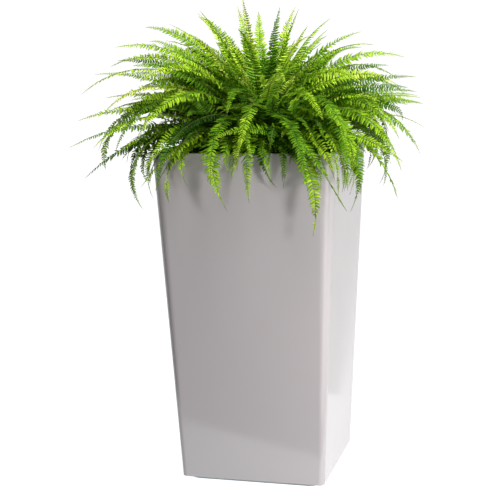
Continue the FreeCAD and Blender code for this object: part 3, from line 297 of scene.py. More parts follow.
def zinc_steel():
    """Zinc-plated steel with fine drawing lines."""
    material, tree, shader = new_finish("zinc_steel", (0.62, 0.63, 0.64), 0.32,
                                        Metallic=1.0)
    lines = object_noise(tree, 1500.0, detail=2.0)
    vary_gloss(tree, shader, lines.outputs["Fac"], 0.24, 0.42)
    add_bump(tree, shader, lines.outputs["Fac"], 0.0001, strength=0.3)
    return material


def clear_cap():
    """Clear moulded plastic, very slightly hazed."""
    material, tree, shader = new_finish("clear_cap", (0.93, 0.96, 0.96), 0.06,
                                        Transmission_Weight=1.0, IOR=1.45)
    haze = object_noise(tree, 120.0)
    vary_gloss(tree, shader, haze.outputs["Fac"], 0.03, 0.12)
    return material


def red_tip():
    """Glossy red plastic, a little uneven in tone."""
    material, tree, shader = new_finish("red_tip", (0.62, 0.02, 0.015), 0.25)
    vary_colour(tree, shader, object_noise(tree, 90.0).outputs["Fac"],
                ((0.3, (0.52, 0.014, 0.012)), (0.7, (0.68, 0.03, 0.02))))
    return material


dress(soft_rubber(), "shell_plug_seal", "liner_stopper")
dress(zinc_steel(), "foot_screws", "fill_lid_pin")
dress(clear_cap(), "gauge_window")
dress(red_tip(), "gauge_tip")

# %% [markdown]
# ## Soil and drainage stones
#
# Potting soil is dark, moist and full of fibres; the drainage stones are light
# pumice and lava.  Both lie mostly out of sight.  Where the soil shows, between the
# fronds, loose crumbs are laid on it in a later cell.  Here the blocks get a noise
# at the size of the grains, for colour and for depth.

# %% Soil and stones
def loose_soil():
    """Moist potting soil: dark, crumbly and uneven in colour."""
    dark, light = (0.012, 0.008, 0.005), (0.075, 0.048, 0.03)
    material, tree, shader = new_finish("loose_soil", dark, 0.92)
    shader.inputs["Specular IOR Level"].default_value = 0.25
    grains = object_noise(tree, 260.0, detail=8.0, roughness=0.7)
    vary_colour(tree, shader, grains.outputs["Fac"], ((0.38, dark), (0.72, light)))
    add_bump(tree, shader, grains.outputs["Fac"], 0.004, strength=0.9)
    return material


def pumice():
    """Pale porous stones, each cell of the pattern one stone, darkened towards its edge:
    painted shade in the gaps between the stones.
    """
    material, tree, shader = new_finish("pumice", (0.4, 0.33, 0.27), 0.85)
    place = add_node(tree, "ShaderNodeTexCoord")
    stones = add_node(tree, "ShaderNodeTexVoronoi", Scale=110.0)
    tree.links.new(place.outputs["Object"], stones.inputs["Vector"])
    # Each stone pales to its middle and darkens to near black at its edge: the dark edge
    # is painted shade in the gaps between the stones.
    vary_colour(tree, shader, stones.outputs["Distance"],
                ((0.0, (0.55, 0.47, 0.38)), (0.5, (0.33, 0.24, 0.18)),
                 (1.0, (0.06, 0.045, 0.035))))
    add_bump(tree, shader, stones.outputs["Distance"], -0.005, strength=0.8)
    return material


dress(loose_soil(), "soil")
dress(pumice(), "drainage_layer")

# %% [markdown]
# ## The fern: how a frond is built
#
# A sword fern's frond is a wiry midrib with some fifty pairs of leaflets.  The
# midrib leaves the crown, arches over and narrows to a hair.  The leaflets are long
# and blunt, set close, each with a small ear at its base, and they shrink towards
# the tip.
#
# It could be a flat card with a picture of a frond on it, but a card has no depth
# at its edges and no real outline.  Particles or geometry nodes would scatter
# leaflets well, but their meshes are awkward to keep.  Here each leaflet is a small
# closed mesh, and numpy places thousands of copies at once, which takes a second.
#
# The construction model holds one thin blade for each main frond.  All of them
# follow one family of arches: the age of a frond runs from 0, the lowest, to 1, the
# youngest, and each frond is turned from the last by the golden angle.  The same
# family is worked out here, so that the leaves grow where those blades are.

# %% The family of arches
golden_angle = math.radians(137.508)
chance_step, chance_ratio = 1.3, 1.9
front_rise, side_rise, young_rise = 28.0, 16.0, 86.0
front_fall, side_fall, young_fall = 90.0, 20.0, 62.0
old_length, young_length, length_bonus = 0.395, 0.310, 0.045
left_gain, length_spread, sway_share = 0.06, 0.16, 0.11
arch_steps = 30


def heading_of(turn):
    """The level direction at a turn about the crown."""
    return np.array((math.cos(turn), math.sin(turn), 0.0))


def rim_reach(turn):
    """How much further the rim is in a direction than straight ahead."""
    return (abs(math.cos(turn)) ** 8 + abs(math.sin(turn)) ** 8) ** (-1 / 8)


def arch(root, turn, rise, fall, length, drift=0.0, bend=1.0, hook=0.0):
    """The points of a midrib that leaves its root, climbs and bends over.

    Rise and fall are its slopes at the root and at the tip, and bend is how much of
    the way between them it goes.  Drift is how far the tip strays to one side, and
    hook is how far it is rolled in.
    """
    along = (np.arange(arch_steps) + 0.5) / arch_steps
    slope = rise + (fall - rise) * (along * bend) ** 1.35
    slope -= hook * np.clip((along - 0.88) / 0.12, 0, 1) ** 1.5
    steps = np.stack((np.cos(slope), np.sin(slope)), -1) * length / arch_steps
    travel = np.concatenate(([(0.0, 0.0)], np.cumsum(steps, axis=0)))
    strayed = drift * np.linspace(0, 1, arch_steps + 1) ** 2
    outward = heading_of(turn)
    sideward = np.array((-math.sin(turn), math.cos(turn), 0))
    return (np.asarray(root) + travel[:, :1] * outward + strayed[:, None] * sideward
            + travel[:, 1:] * (0, 0, 1))


def frond_arch(age, turn, share=1.0, sway=0.0, bend=1.0, hook=0.0, drop=0.0):
    """The midrib of a frond of the family.

    Share is how much of the full length has grown, sway is how far the tip strays
    for each length, and drop lowers the start, in degrees.
    """
    sideways = math.cos(turn) ** 2
    low_rise = front_rise + side_rise * sideways
    low_fall = side_fall * sideways - front_fall
    rise = math.radians(low_rise + (young_rise - low_rise) * age - drop)
    fall = math.radians(low_fall + (young_fall - low_fall) * age ** 1.8 - drop)
    length = old_length + (young_length - old_length) * age
    length += length_bonus * math.sin(math.pi * age)
    length *= 1 + (rim_reach(turn) - 1) * (1 - age) ** 2
    length *= (1 - left_gain * math.cos(turn)) * share
    reach = crown_radius * (0.95 - 0.4 * age)
    root = (reach * math.cos(turn), reach * math.sin(turn),
            mound_top + crown_height * (0.25 + 0.7 * age))
    return arch(root, turn, rise, fall, length, sway * length, bend, hook)


print("a middle frond's tip:", frond_arch(0.5, -math.pi / 2)[-1].round(3))

# %% [markdown]
# ## Sleeves
#
# Leaflets, stems, scales and crumbs look different, but each is a sleeve: rings of
# points in rows, closed at either end by one point.  So one list of faces serves
# them all.  Each sleeve is also unrolled into a small cell of a square map, which a
# bake can paint without two faces ever sharing a spot.
#
# A collector keeps the points and a mark for every point: how light its tone is,
# how much it belongs to a leaf's underside, and how much to a stem.  The materials
# read these marks later.

# %% Sleeves and their collector
def sleeve_faces(rows, sides):
    """The quads and triangles of a closed sleeve, each with its corners on the map."""
    ring, side = (grid.ravel() for grid in np.meshgrid(
        np.arange(rows - 1), np.arange(sides), indexing="ij"))
    after = (side + 1) % sides
    quads = np.stack((ring * sides + side, ring * sides + after,
                      (ring + 1) * sides + after, (ring + 1) * sides + side), -1)
    low, high = (ring + 1) / (rows + 1), (ring + 2) / (rows + 1)
    left, right_edge = side / sides, (side + 1) / sides
    quad_map = np.stack((np.stack((low, low, high, high), -1),
                         np.stack((left, right_edge, right_edge, left), -1)), -1)
    side = np.arange(sides)
    after = (side + 1) % sides
    left, middle, right_edge = side / sides, (side + 0.5) / sides, (side + 1) / sides
    first, last, top = rows * sides, rows * sides + 1, (rows - 1) * sides
    triangles = np.concatenate((
        np.stack((np.full(sides, first), after, side), -1),
        np.stack((np.full(sides, last), top + side, top + after), -1)))
    near, far = 1 / (rows + 1), rows / (rows + 1)
    triangle_map = np.concatenate((
        np.stack((np.stack((0 * middle, near + 0 * left, near + 0 * left), -1),
                  np.stack((middle, right_edge, left), -1)), -1),
        np.stack((np.stack((1 + 0 * middle, far + 0 * left, far + 0 * left), -1),
                  np.stack((middle, left, right_edge), -1)), -1)))
    return quads, quad_map, triangles, triangle_map


class Gathering:
    """Collects sleeves with their marks, and makes one mesh object of them."""

    def __init__(self):
        self.points, self.marks = [], []
        self.corners, self.sizes, self.map = [], [], []
        self.count, self.cells = 0, 0

    def add(self, points, rows, sides, marks, mirrored=False):
        """Adds sleeves; the points are an array of (sleeves, points in one, 3)."""
        number, size = points.shape[:2]
        self.points.append(points.reshape(-1, 3))
        self.marks.append(np.broadcast_to(marks, points.shape).reshape(-1, 3))
        quads, quad_map, triangles, triangle_map = sleeve_faces(rows, sides)
        starts = self.count + np.arange(number) * size
        cells = self.cells + np.arange(number)
        for faces, places in ((quads, quad_map), (triangles, triangle_map)):
            if mirrored:
                faces, places = faces[:, ::-1], places[:, ::-1]
            self.corners.append((starts[:, None, None] + faces).ravel())
            self.sizes.append(np.full(number * len(faces), faces.shape[1]))
            self.map.append(np.concatenate((
                np.broadcast_to(places, (number, *places.shape)),
                np.broadcast_to(cells[:, None, None, None],
                                (number, *places.shape[:2], 1))), -1).reshape(-1, 3))
        self.count += number * size
        self.cells += number

    def to_object(self, name, material, body):
        """Makes the mesh, with its marks and its map, and lets it ride on a body."""
        corners, sizes = np.concatenate(self.corners), np.concatenate(self.sizes)
        mesh = bpy.data.meshes.new(name)
        mesh.vertices.add(self.count)
        mesh.vertices.foreach_set("co", np.concatenate(self.points).ravel())
        mesh.loops.add(len(corners))
        mesh.loops.foreach_set("vertex_index", corners)
        mesh.polygons.add(len(sizes))
        mesh.polygons.foreach_set("loop_start",
                                  np.concatenate(([0], np.cumsum(sizes)[:-1])))
        mesh.update(calc_edges=True)
        mesh.polygons.foreach_set("use_smooth", np.ones(len(mesh.polygons), bool))
        colours = mesh.attributes.new("marks", "FLOAT_COLOR", "POINT")
        marks = np.concatenate(self.marks)
        colours.data.foreach_set("color", np.c_[marks, np.ones(len(marks))].ravel())
        across = math.ceil(math.sqrt(self.cells))
        places = np.concatenate(self.map)
        cell = np.stack((places[:, 2] % across, places[:, 2] // across), -1)
        inset = 0.08
        places = (cell + inset + (1 - 2 * inset) * places[:, :2]) / across
        mesh.uv_layers.new(name="OFBake").data.foreach_set("uv", places.ravel())
        mesh.materials.append(material)
        piece = bpy.data.objects.new(name, mesh)
        bpy.context.scene.collection.objects.link(piece)
        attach(piece, body)
        print(name, "has", int(np.sum(sizes - 2)), "triangles")
        return piece


def unit(vectors):
    """Vectors of length one."""
    return vectors / np.linalg.norm(vectors, axis=-1, keepdims=True)

# %% [markdown]
# ## Stems
#
# A stem is a sleeve that narrows along its path.  Six sides are enough for something
# two millimetres thick.  A curve object with a bevel would do, but the stem has to
# share a mesh with the leaflets, so its rings are worked out here.

# %% Stems along a path
stem_sides = 6


def add_stem(gathering, path, radii, tone, stem=1.0):
    """Adds a closed tapering stem along a path."""
    forward = unit(np.gradient(path, axis=0))
    across = np.cross(forward, (0.0, 0.0, 1.0))
    upright = np.linalg.norm(across, axis=1) < 0.05
    across[upright] = np.cross(forward[upright], (0.0, 1.0, 0.0))
    across = unit(across)
    upward = np.cross(across, forward)
    turns = np.arange(stem_sides) / stem_sides * 2 * math.pi
    ring = (np.cos(turns)[None, :, None] * across[:, None]
            + np.sin(turns)[None, :, None] * upward[:, None])
    points = (path[:, None] + ring * np.asarray(radii)[:, None, None]).reshape(-1, 3)
    points = np.concatenate((points, path[:1], path[-1:]))
    gathering.add(points[None], len(path), stem_sides, (tone, 0.0, stem))

# %% [markdown]
# ## One leaflet
#
# The leaflet is drawn once, one unit long, and copied.  It has three rings along its
# length.  Each has a point on either edge and a pair of points on the midvein that
# lie a little apart, so the leaflet is a closed solid as thin as a real one.  The
# midvein is sunk, which gives the leaf its channel, and the ear is on the side that
# faces the frond's tip.

# %% The leaflet's pattern
leaflet_rings = (
    # along, half width towards the tip, half width towards the stem
    (0.13, 0.58, 0.44),
    (0.47, 0.48, 0.47),
    (0.80, 0.29, 0.28),
)
leaf_channel = 0.20
leaf_thickness = 0.0005


def leaflet_pattern():
    """Points (along, across, up) of one leaflet, and its underside marks."""
    points, under = [], []
    for along, towards_tip, towards_stem in leaflet_rings:
        sink = -leaf_channel * (towards_tip + towards_stem) / 2
        points += [(along, towards_tip, 0), (along, 0, sink),
                   (along, -towards_stem, 0), (along, 0, sink)]
        under += [0.5, 0, 0.5, 1]
    points += [(0.0, 0, 0), (1.0, 0, 0)]
    under += [0.3, 0.3]
    return np.array(points, float), np.array(under)


pattern_points, pattern_under = leaflet_pattern()
print("one leaflet:", len(pattern_points), "points")

# %% [markdown]
# ## A whole frond
#
# The leaflets' length follows the frond's outline: short near the crown, longest from a
# fifth of the way to the middle, then dwindling to the tip.  Their spacing shrinks with
# them, so the tip stays dense.  A real frond is never a flat comb, so each one folds a
# little along its midrib, its leaflets lean towards the tip, and every leaflet gets its
# own small turn.  The tone rises along the frond, because the tip is the youngest, palest
# part; the rise is steep, so the pale tips are also a painted highlight.

# %% Leaflets along a midrib
longest_leaflet = 0.0250
leaflet_slimness = 0.31
widest_leaflet = 0.0070
closest_leaflets = 0.0034
leaflet_spacing = 0.19


def leaflet_share(along):
    """The length of the leaflets at a share of the frond, from 0 to 1."""
    opening = np.clip((along - 0.03) / 0.17, 0, 1) ** 0.7
    closing = np.clip((1 - along) / 0.50, 0, 1) ** 0.72
    return opening * closing


def leaflet_places(longest, total):
    """The leaflets' places along a frond, as shares of its length."""
    places, place = [], 0.08
    while place < 0.985:
        places.append(place)
        gap = closest_leaflets + leaflet_spacing * longest * leaflet_share(place)
        place += gap / total
    return np.array(places)


def add_frond(gathering, dice, path, size_share, tone, fold, facing):
    """Adds a midrib with its leaflets; dice is the source of its small accidents.

    Fold lifts the leaflets into a V, and facing rolls the blade about its midrib.
    """
    travelled = np.concatenate(
        ([0], np.cumsum(np.linalg.norm(np.diff(path, axis=0), axis=1))))
    total = travelled[-1]
    longest = longest_leaflet * size_share
    places = leaflet_places(longest, total)
    count = len(places)

    def at_places(vectors):
        return np.stack([np.interp(places * total, travelled, vectors[:, axis])
                         for axis in range(3)], -1)

    forward = unit(np.gradient(path, axis=0))
    centre, ahead = at_places(path), unit(at_places(forward))
    flat_side = unit(at_places(unit(np.cross((0.0, 0.0, 1.0), forward))))
    flat_up = np.cross(ahead, flat_side)
    roll = facing * np.clip(places / 0.45, 0, 1) + dice.uniform(-0.3, 0.3) * places
    roll = roll[:, None]
    side = flat_side * np.cos(roll) + flat_up * np.sin(roll)
    upward = flat_up * np.cos(roll) - flat_side * np.sin(roll)
    along = pattern_points[:, 0]
    for hand in (-1, 1):
        lean = 0.22 + 0.5 * places ** 3 + dice.normal(0, 0.10, count)
        lift = fold + dice.normal(0, 0.12, count)
        out = unit(hand * side * np.cos(lean)[:, None] + ahead * np.sin(lean)[:, None]
                   + upward * lift[:, None])
        width_way = unit(ahead - out * np.sum(ahead * out, -1, keepdims=True))
        face_way = -hand * np.cross(out, width_way)
        tilt = dice.normal(0.12, 0.18, count)[:, None]
        width_way, face_way = (width_way * np.cos(tilt) + face_way * np.sin(tilt),
                               face_way * np.cos(tilt) - width_way * np.sin(tilt))
        length = longest * leaflet_share(places) * dice.uniform(0.86, 1.08, count)
        length = np.maximum(length, 0.0018)[:, None]
        width = np.minimum(length * leaflet_slimness + 0.0006, widest_leaflet)
        droop = dice.uniform(0.02, 0.28, count)[:, None]
        curl = dice.uniform(0.02, 0.22, count)[:, None]
        across = width * pattern_points[:, 1] + length * curl * along ** 2
        above = (width * pattern_points[:, 2] - length * droop * along ** 2
                 - leaf_thickness * (pattern_under == 1))
        points = (centre[:, None] + (length * along)[..., None] * out[:, None]
                  + across[..., None] * width_way[:, None]
                  + above[..., None] * face_way[:, None])
        # The tone rises steeply towards the tip: paler young growth, and a painted
        # highlight on the tips.
        tones = (tone + 0.32 * places ** 2 + dice.normal(0, 0.05, count))[:, None]
        tones = tones + 0.10 * along - 0.05
        marks = np.stack((tones, np.broadcast_to(pattern_under, tones.shape),
                          np.zeros(tones.shape)), -1)
        gathering.add(points, len(leaflet_rings), 4, marks, mirrored=hand > 0)
    radii = np.interp(travelled / total, (0, 0.3, 1), (0.0015, 0.0011, 0.0003))
    add_stem(gathering, path, radii * (0.6 + 0.4 * size_share), tone)

# %% [markdown]
# ## The leaf's finish
#
# A fern leaf is thin, bright green and a little glossy, paler beneath.  Light that comes
# through it makes it yellower, and that yellow is painted into its colour here.  The marks
# on the mesh pick the green: dark for old shaded fronds, yellow-green for the young ones.
# The palest stops, up to a near-white yellow on the young tips, are a painted highlight.
# Fine noise gives the blotches and the pimply surface of a real leaf.

# %% The fern's finish
# The top stops, pale to near-white yellow, are a painted highlight and painted light
# through the leaf.
leaf_stops_with_painted_highlight = ((0.0, (0.004, 0.036, 0.001)), (0.25, (0.028, 0.125, 0.002)),
              (0.5, (0.140, 0.345, 0.005)), (0.75, (0.440, 0.710, 0.024)),
              (1.0, (0.860, 0.980, 0.160)))
stem_colour = (0.155, 0.190, 0.035)
under_colour = (0.200, 0.400, 0.050)


def fern_leaf():
    """The green of the fronds, from the marks on their points."""
    material, tree, shader = new_finish("fern_leaf", (0.1, 0.3, 0.02), 0.42)
    shader.inputs["Specular IOR Level"].default_value = 0.10
    lightness, underside, stem = read_marks(tree)
    blotches = spread(tree, object_noise(tree, 70.0, detail=3.0).outputs["Fac"],
                      -0.07, 0.07)
    tone = add_node(tree, "ShaderNodeMath", operation="ADD")
    tree.links.new(lightness, tone.inputs[0])
    tree.links.new(blotches, tone.inputs[1])
    green = ramp(tree, tone.outputs["Value"], leaf_stops_with_painted_highlight)
    for share, colour, strength in ((underside, under_colour, 0.28),
                                    (stem, stem_colour, 0.9)):
        amount = add_node(tree, "ShaderNodeMath", operation="MULTIPLY")
        amount.inputs[1].default_value = strength
        tree.links.new(share, amount.inputs[0])
        mix = add_node(tree, "ShaderNodeMix", data_type="RGBA")
        mix_a = next(s for s in mix.inputs if s.name == "A" and s.type == "RGBA")
        mix_b = next(s for s in mix.inputs if s.name == "B" and s.type == "RGBA")
        mix_b.default_value = (*colour, 1)
        tree.links.new(amount.outputs["Value"], mix.inputs["Factor"])
        tree.links.new(green, mix_a)
        green = next(s for s in mix.outputs if s.type == "RGBA")
    tree.links.new(green, shader.inputs["Base Color"])
    pimples = object_noise(tree, 900.0, detail=3.0)
    vary_gloss(tree, shader, pimples.outputs["Fac"], 0.34, 0.52)
    add_bump(tree, shader, pimples.outputs["Fac"], 0.0006, strength=0.5)
    return material


leaf_finish = fern_leaf()

# %% [markdown]
# ## Growing the fern
#
# Seventy-two main fronds lie in the construction model's blades, with the same
# lengths and the same sway, so each group stands for its node.  A living fern is
# less orderly than that.  So smaller fronds fill the gaps between them: a skirt
# round the foot, a body of half-grown ones that stray further, a heart of young
# ones, and some nearly straight ones that reach out to the left and right.
#
# A sword fern also sends out runners, and a young plant grows at the end of each.
# These offsets stand all over the soil, and their short fronds point every way.
# Those nearest the edge arch over the rim and hang close to the wall, where their
# shadows fall on it.
#
# The main fronds are clear of everything, because their blades are.  None of the
# others may cut through the rim, or stand in the way of a handle that is pulled up.
# One that would is tried again with another arch, and if none of its arches is
# clear, it isn't grown.  The random source is seeded, so every run grows the same
# fern.

# %% Where a frond may pass
mound_foot = 0.140
mound_shoulder = 0.060
soil_level = mound_top - 0.014
shaft_low, shaft_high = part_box("shaft_collar")
gauge_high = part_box("gauge_window")[1]
handle_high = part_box("handle_right")[1]
handle_travel = 0.060
rim_clearance = 0.006
leaflet_clearance = 0.020
inside_wall, outside_wall = 0.012, 0.007
shaft_clearance = 0.01
soil_clearance = 0.002


def ground_level(x, y):
    """The height of the soil's surface."""
    distance = math.hypot(x, y)
    share = min(1.0, max(0.0, (mound_foot - distance) / (mound_foot - mound_shoulder)))
    return soil_level + (mound_top - soil_level) * share


def passes(path):
    """Whether a path stays clear of the hard pieces, and within the blades' box."""
    x, y, z = path[4:].T
    reach = np.maximum(np.abs(x), np.abs(y))
    below_rim = z < rim_level + rim_clearance
    in_wall = (below_rim & (reach > soil_high.x - inside_wall)
               & (reach < rim_high.x + outside_wall))
    in_shaft = ((x < gauge_high.x + shaft_clearance)
                & (y > shaft_low.y - shaft_clearance)
                & (y < shaft_high.y + shaft_clearance)
                & (z < gauge_high.z + shaft_clearance))
    in_handle = ((np.abs(np.abs(x) - handle_high.x) < leaflet_clearance)
                 & (np.abs(y) < handle_high.y + leaflet_clearance)
                 & (z < handle_high.z + handle_travel + leaflet_clearance))
    in_soil = (reach < soil_high.x) & (z < mound_top + soil_clearance)
    too_far = (path < np.array(cad_box[0])) | (path > np.array(cad_box[1]))
    return not np.any([in_wall, in_shaft, in_handle, in_soil, too_far.any(axis=1)[4:]])


# %% Grow the main fronds
main_count = 72
fern_seed = 2218
groups = ("fronds_low", "fronds_outer", "fronds_middle", "fronds_top")
facing_light = 0.75
dice = np.random.default_rng(fern_seed)


def main_frond(number, gathering):
    """Grows one frond in its blade of the construction model."""
    age = (number + 0.5) / main_count
    turn = number * golden_angle
    chance = number * chance_step
    share = 1 - length_spread * math.sin(chance_ratio * chance) ** 2
    sway = sway_share * math.sin(chance) * (1 - age ** 3)
    path = frond_arch(age, turn, share, sway)
    facing = facing_light * (1 - 0.4 * age) * math.cos(turn)
    add_frond(gathering, dice, path, dice.uniform(0.86, 1.04),
              0.36 + 0.22 * age + dice.normal(0, 0.13), dice.uniform(-0.3, 0.3),
              facing + dice.uniform(-0.35, 0.35))


main_groups = {name: Gathering() for name in groups}
for number in range(main_count):
    main_frond(number, main_groups[groups[number * len(groups) // main_count]])
for name, gathering in main_groups.items():
    leaves = gathering.to_object(name.replace("fronds_", "leaves_"), leaf_finish, "liner")
    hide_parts(name)

# %% Fill the gaps between them
fillers = {
    # how many, youth and prime age, shortest and longest share, sway, drop, tone
    "leaves_skirt": (50, 0.0, 0.22, 0.48, 0.82, 0.34, 18.0, 0.30),
    "leaves_body": (68, 0.12, 0.80, 0.42, 0.86, 0.40, 10.0, 0.36),
    "leaves_heart": (72, 0.60, 1.0, 0.46, 0.72, 0.34, 0.0, 0.48),
}
reach_count = 20


def grow_fillers(gathering, number, generation):
    """Grows one generation of smaller fronds, with freer arches."""
    count, youth, prime, shortest, longest, swaying, drop, tone = generation
    for place in range(count):
        age = youth + (prime - youth) * (place + 0.5) / count
        turn = 0.9 * number + place * golden_angle + dice.uniform(-0.35, 0.35)
        share = dice.uniform(shortest - 0.22 * max(0, age - 0.6), longest)
        sway, hook = dice.uniform(-swaying, swaying), dice.uniform(-3.5, 1.6)
        drops = dice.uniform(0.3, 1.0) * drop
        facing = facing_light * (0.8 + 0.7 * age) * math.cos(turn)
        for lift in (0, 8, 16, 24, 32):
            path = frond_arch(age, turn, share, sway,
                              share ** 0.5 * (1 - 0.25 * math.cos(turn) ** 2),
                              max(0, hook), drops - lift)
            if passes(path):
                add_frond(gathering, dice, path, dice.uniform(0.78, 1.04),
                          tone + dice.normal(0, 0.17), dice.uniform(-0.35, 0.40),
                          facing + dice.uniform(-0.7, 0.7))
                break


def grow_reaching(gathering):
    """Grows nearly straight fronds that reach out to the left and right."""
    for place in range(reach_count):
        age = 0.02 + 0.38 * (place + 0.5) / reach_count
        to_left = place % 2
        turn = math.pi * to_left + dice.uniform(-0.75, 0.6)
        sway = dice.uniform(-0.15, 0.15)
        drops = dice.uniform(16, 34) * (1 - age)
        tone = 0.42 + dice.normal(0, 0.14)
        facing = 1.1 * facing_light * math.cos(turn) + dice.uniform(-0.4, 0.4)
        for share in (0.96, 0.92, 0.88, 0.84, 0.8, 0.76, 0.72):
            path = frond_arch(age, turn, share * (1 - 0.1 * to_left), sway,
                              0.5 + 0.2 * age, 0, drops)
            if passes(path):
                add_frond(gathering, dice, path, dice.uniform(0.68, 0.98), tone,
                          dice.uniform(-0.2, 0.3), facing)
                break


for number, (name, generation) in enumerate(fillers.items(), 1):
    gathering = Gathering()
    grow_fillers(gathering, number, generation)
    gathering.to_object(name, leaf_finish, "liner")
reaching = Gathering()
grow_reaching(reaching)
reaching.to_object("leaves_reaching", leaf_finish, "liner")

# %% [markdown]
# ## Offsets, apron and longest fronds
#
# These three are the loose part of the fern.  The offsets are short and point every
# way.  A frond of the apron is tried again until it ends just outside the wall,
# because further out its shadow would miss the face.  The longest fronds catch the
# eye, so chance alone may not place them: each has a place where its tip should
# hang, measured from the rim, and of many random arches the one that ends nearest
# to it is grown.  Drawing each by hand would place them too, but stiffly.

# %% The offsets
offset_count = 96


def offset_path(heading, radius, turn, rises, falls, lengths):
    """A random path for an offset's frond; heading and radius place its root."""
    x, y = radius * math.cos(heading), radius * math.sin(heading)
    length = dice.uniform(*lengths)
    return arch((x, y, ground_level(x, y)), turn, math.radians(dice.uniform(*rises)),
                math.radians(dice.uniform(*falls)), length,
                dice.uniform(-0.35, 0.35) * length)


def grow_offsets(gathering):
    """Grows the short fronds of the young plants round the crown.

    Two in three arch outwards, and the third is shorter and more upright.
    """
    habits = (((45, 82), (-90, -5), (0.13, 0.27)), ((68, 92), (-60, 40), (0.09, 0.16)))
    for place in range(offset_count):
        heading = place * golden_angle + dice.uniform(-0.3, 0.3)
        radius = 0.035 + 0.105 * math.sqrt((place + 0.5) / offset_count)
        radius *= rim_reach(heading)
        rises, falls, lengths = habits[place % 3 == 0]
        for _ in range(6):
            path = offset_path(heading, radius, heading + dice.normal(0, 0.55),
                               rises, falls, lengths)
            if passes(path):
                add_frond(gathering, dice, path, dice.uniform(0.62, 0.90),
                          0.30 + dice.normal(0, 0.15), dice.uniform(-0.3, 0.4),
                          dice.uniform(-0.8, 0.8))
                break


# %% The apron
apron_count = 84
apron_tries = 80
least_outside, most_outside, most_outside_left = 0.008, 0.050, 0.030


def grow_apron(gathering):
    """Grows the fronds that arch over the rim and hang close to the wall."""
    grown = 0
    lengths = ((0.22, 0.34), (0.34, 0.46))
    for place in range(apron_count):
        heading = place * golden_angle
        for _ in range(apron_tries):
            turn = heading + dice.normal(0, 0.3)
            path = offset_path(heading, dice.uniform(0.075, 0.130), turn,
                               (38, 62), (-122, -85), lengths[place % 2])
            outside = max(abs(path[-1, 0]), abs(path[-1, 1])) - rim_high.x
            widest = most_outside_left if path[-1, 0] < -rim_high.x else most_outside
            if passes(path) and least_outside < outside < widest:
                add_frond(gathering, dice, path, dice.uniform(0.72, 0.98),
                          0.36 + dice.normal(0, 0.12), dice.uniform(-0.2, 0.3),
                          dice.uniform(-0.4, 0.4))
                grown += 1
                break
    print(grown, "fronds hang over the rim")


# %% The longest fronds
lowest_tips = (
    # across and along, in half rim widths from the middle, and metres below the rim
    (-0.6, -1.25, 0.126), (-0.1, -1.25, 0.106), (0.9, -1.2, 0.136),
    (1.175, -0.65, 0.136), (1.55, -0.6, 0.106), (-1.7, -0.7, 0.066),
    (0.6, 1.25, 0.116), (-0.5, 1.25, 0.106),
)
arches_tried = 600


def grow_lowest(gathering):
    """Grows the oldest fronds, each towards the place where its tip hangs."""
    for across, along, below in lowest_tips:
        tip = np.array((across * rim_high.x, along * rim_high.x, rim_level - below))
        heading = math.atan2(tip[1], tip[0])
        paths = [offset_path(heading + dice.uniform(-0.6, 0.6), dice.uniform(0.07, 0.13),
                             heading + dice.normal(0, 0.45), (24, 62), (-118, -42),
                             (0.30, 0.52)) for _ in range(arches_tried)]
        paths = [path for path in paths if passes(path)]
        nearest = min(paths, key=lambda path: np.linalg.norm(path[-1] - tip))
        miss = np.linalg.norm(nearest[-1] - tip)
        print(f"a tip hangs {miss:.3f} m from its place")
        add_frond(gathering, dice, nearest, 1.15, 0.46 + dice.normal(0, 0.06),
                  dice.uniform(-0.1, 0.2), dice.uniform(-0.3, 0.3))


for name, grow in (("leaves_offsets", grow_offsets), ("leaves_apron", grow_apron),
                   ("leaves_lowest", grow_lowest)):
    gathering = Gathering()
    grow(gathering)
    gathering.to_object(name, leaf_finish, "liner")

# %% [markdown]
# ## The crown
#
# All fronds spring from a short upright stem, the crown.  It is wrapped in rusty
# scales and in the stumps of old stalks, and young fronds stand on it as rolled
# crosiers.  A displaced ball would only look like a lump, so the crown is gathered
# from the parts a real one has: a rough core, overlapping scales that point up and
# out, and a few crosiers wound as spirals.

# %% The crown's parts
scale_count, stump_count, crosier_count = 900, 26, 5


def rounded_core(gathering, dice):
    """Adds the crown's core: a dome with a closed base, roughened a little."""
    rings, sides = 12, 36
    share = (np.arange(rings + 1) / rings)[:, None]
    turn = np.arange(sides) / sides * 2 * math.pi
    radius = crown_radius * 0.90 * np.clip(np.cos(share * math.pi / 2), 0, 1) ** 0.55
    radius = radius * (1 + 0.05 * np.sin(5 * turn + 3 * share)
                       + dice.normal(0, 0.02, (rings + 1, sides)))
    level = (mound_top + crown_height * 0.86 * share
             + dice.normal(0, 0.0006, (rings + 1, sides)))
    points = np.stack((radius * np.cos(turn), radius * np.sin(turn),
                       np.maximum(level, mound_top)), -1).reshape(-1, 3)
    ends = ((0, 0, mound_top), (0, 0, mound_top + crown_height * 0.87))
    gathering.add(np.concatenate((points, ends))[None], rings + 1, sides, (0.2, 0, 0))


def add_scale(gathering, place, outward, upward, length, width, tone):
    """Adds one papery scale: a narrow closed blade that ends in a point."""
    across = unit(np.cross(outward, upward))
    points = []
    for share in (0.05, 0.4, 0.75):
        middle = place + upward * length * share + outward * length * 0.3 * share ** 2
        half = width / 2 * (1 - share ** 2)
        for side, rise in ((half, 0.0), (0.0, 0.0006), (-half, 0.0), (0.0, -0.0002)):
            points.append(middle + across * side + outward * rise)
    points += [place, place + upward * length + outward * length * 0.34]
    gathering.add(np.array([points]), 3, 4, (tone, 0, 0))


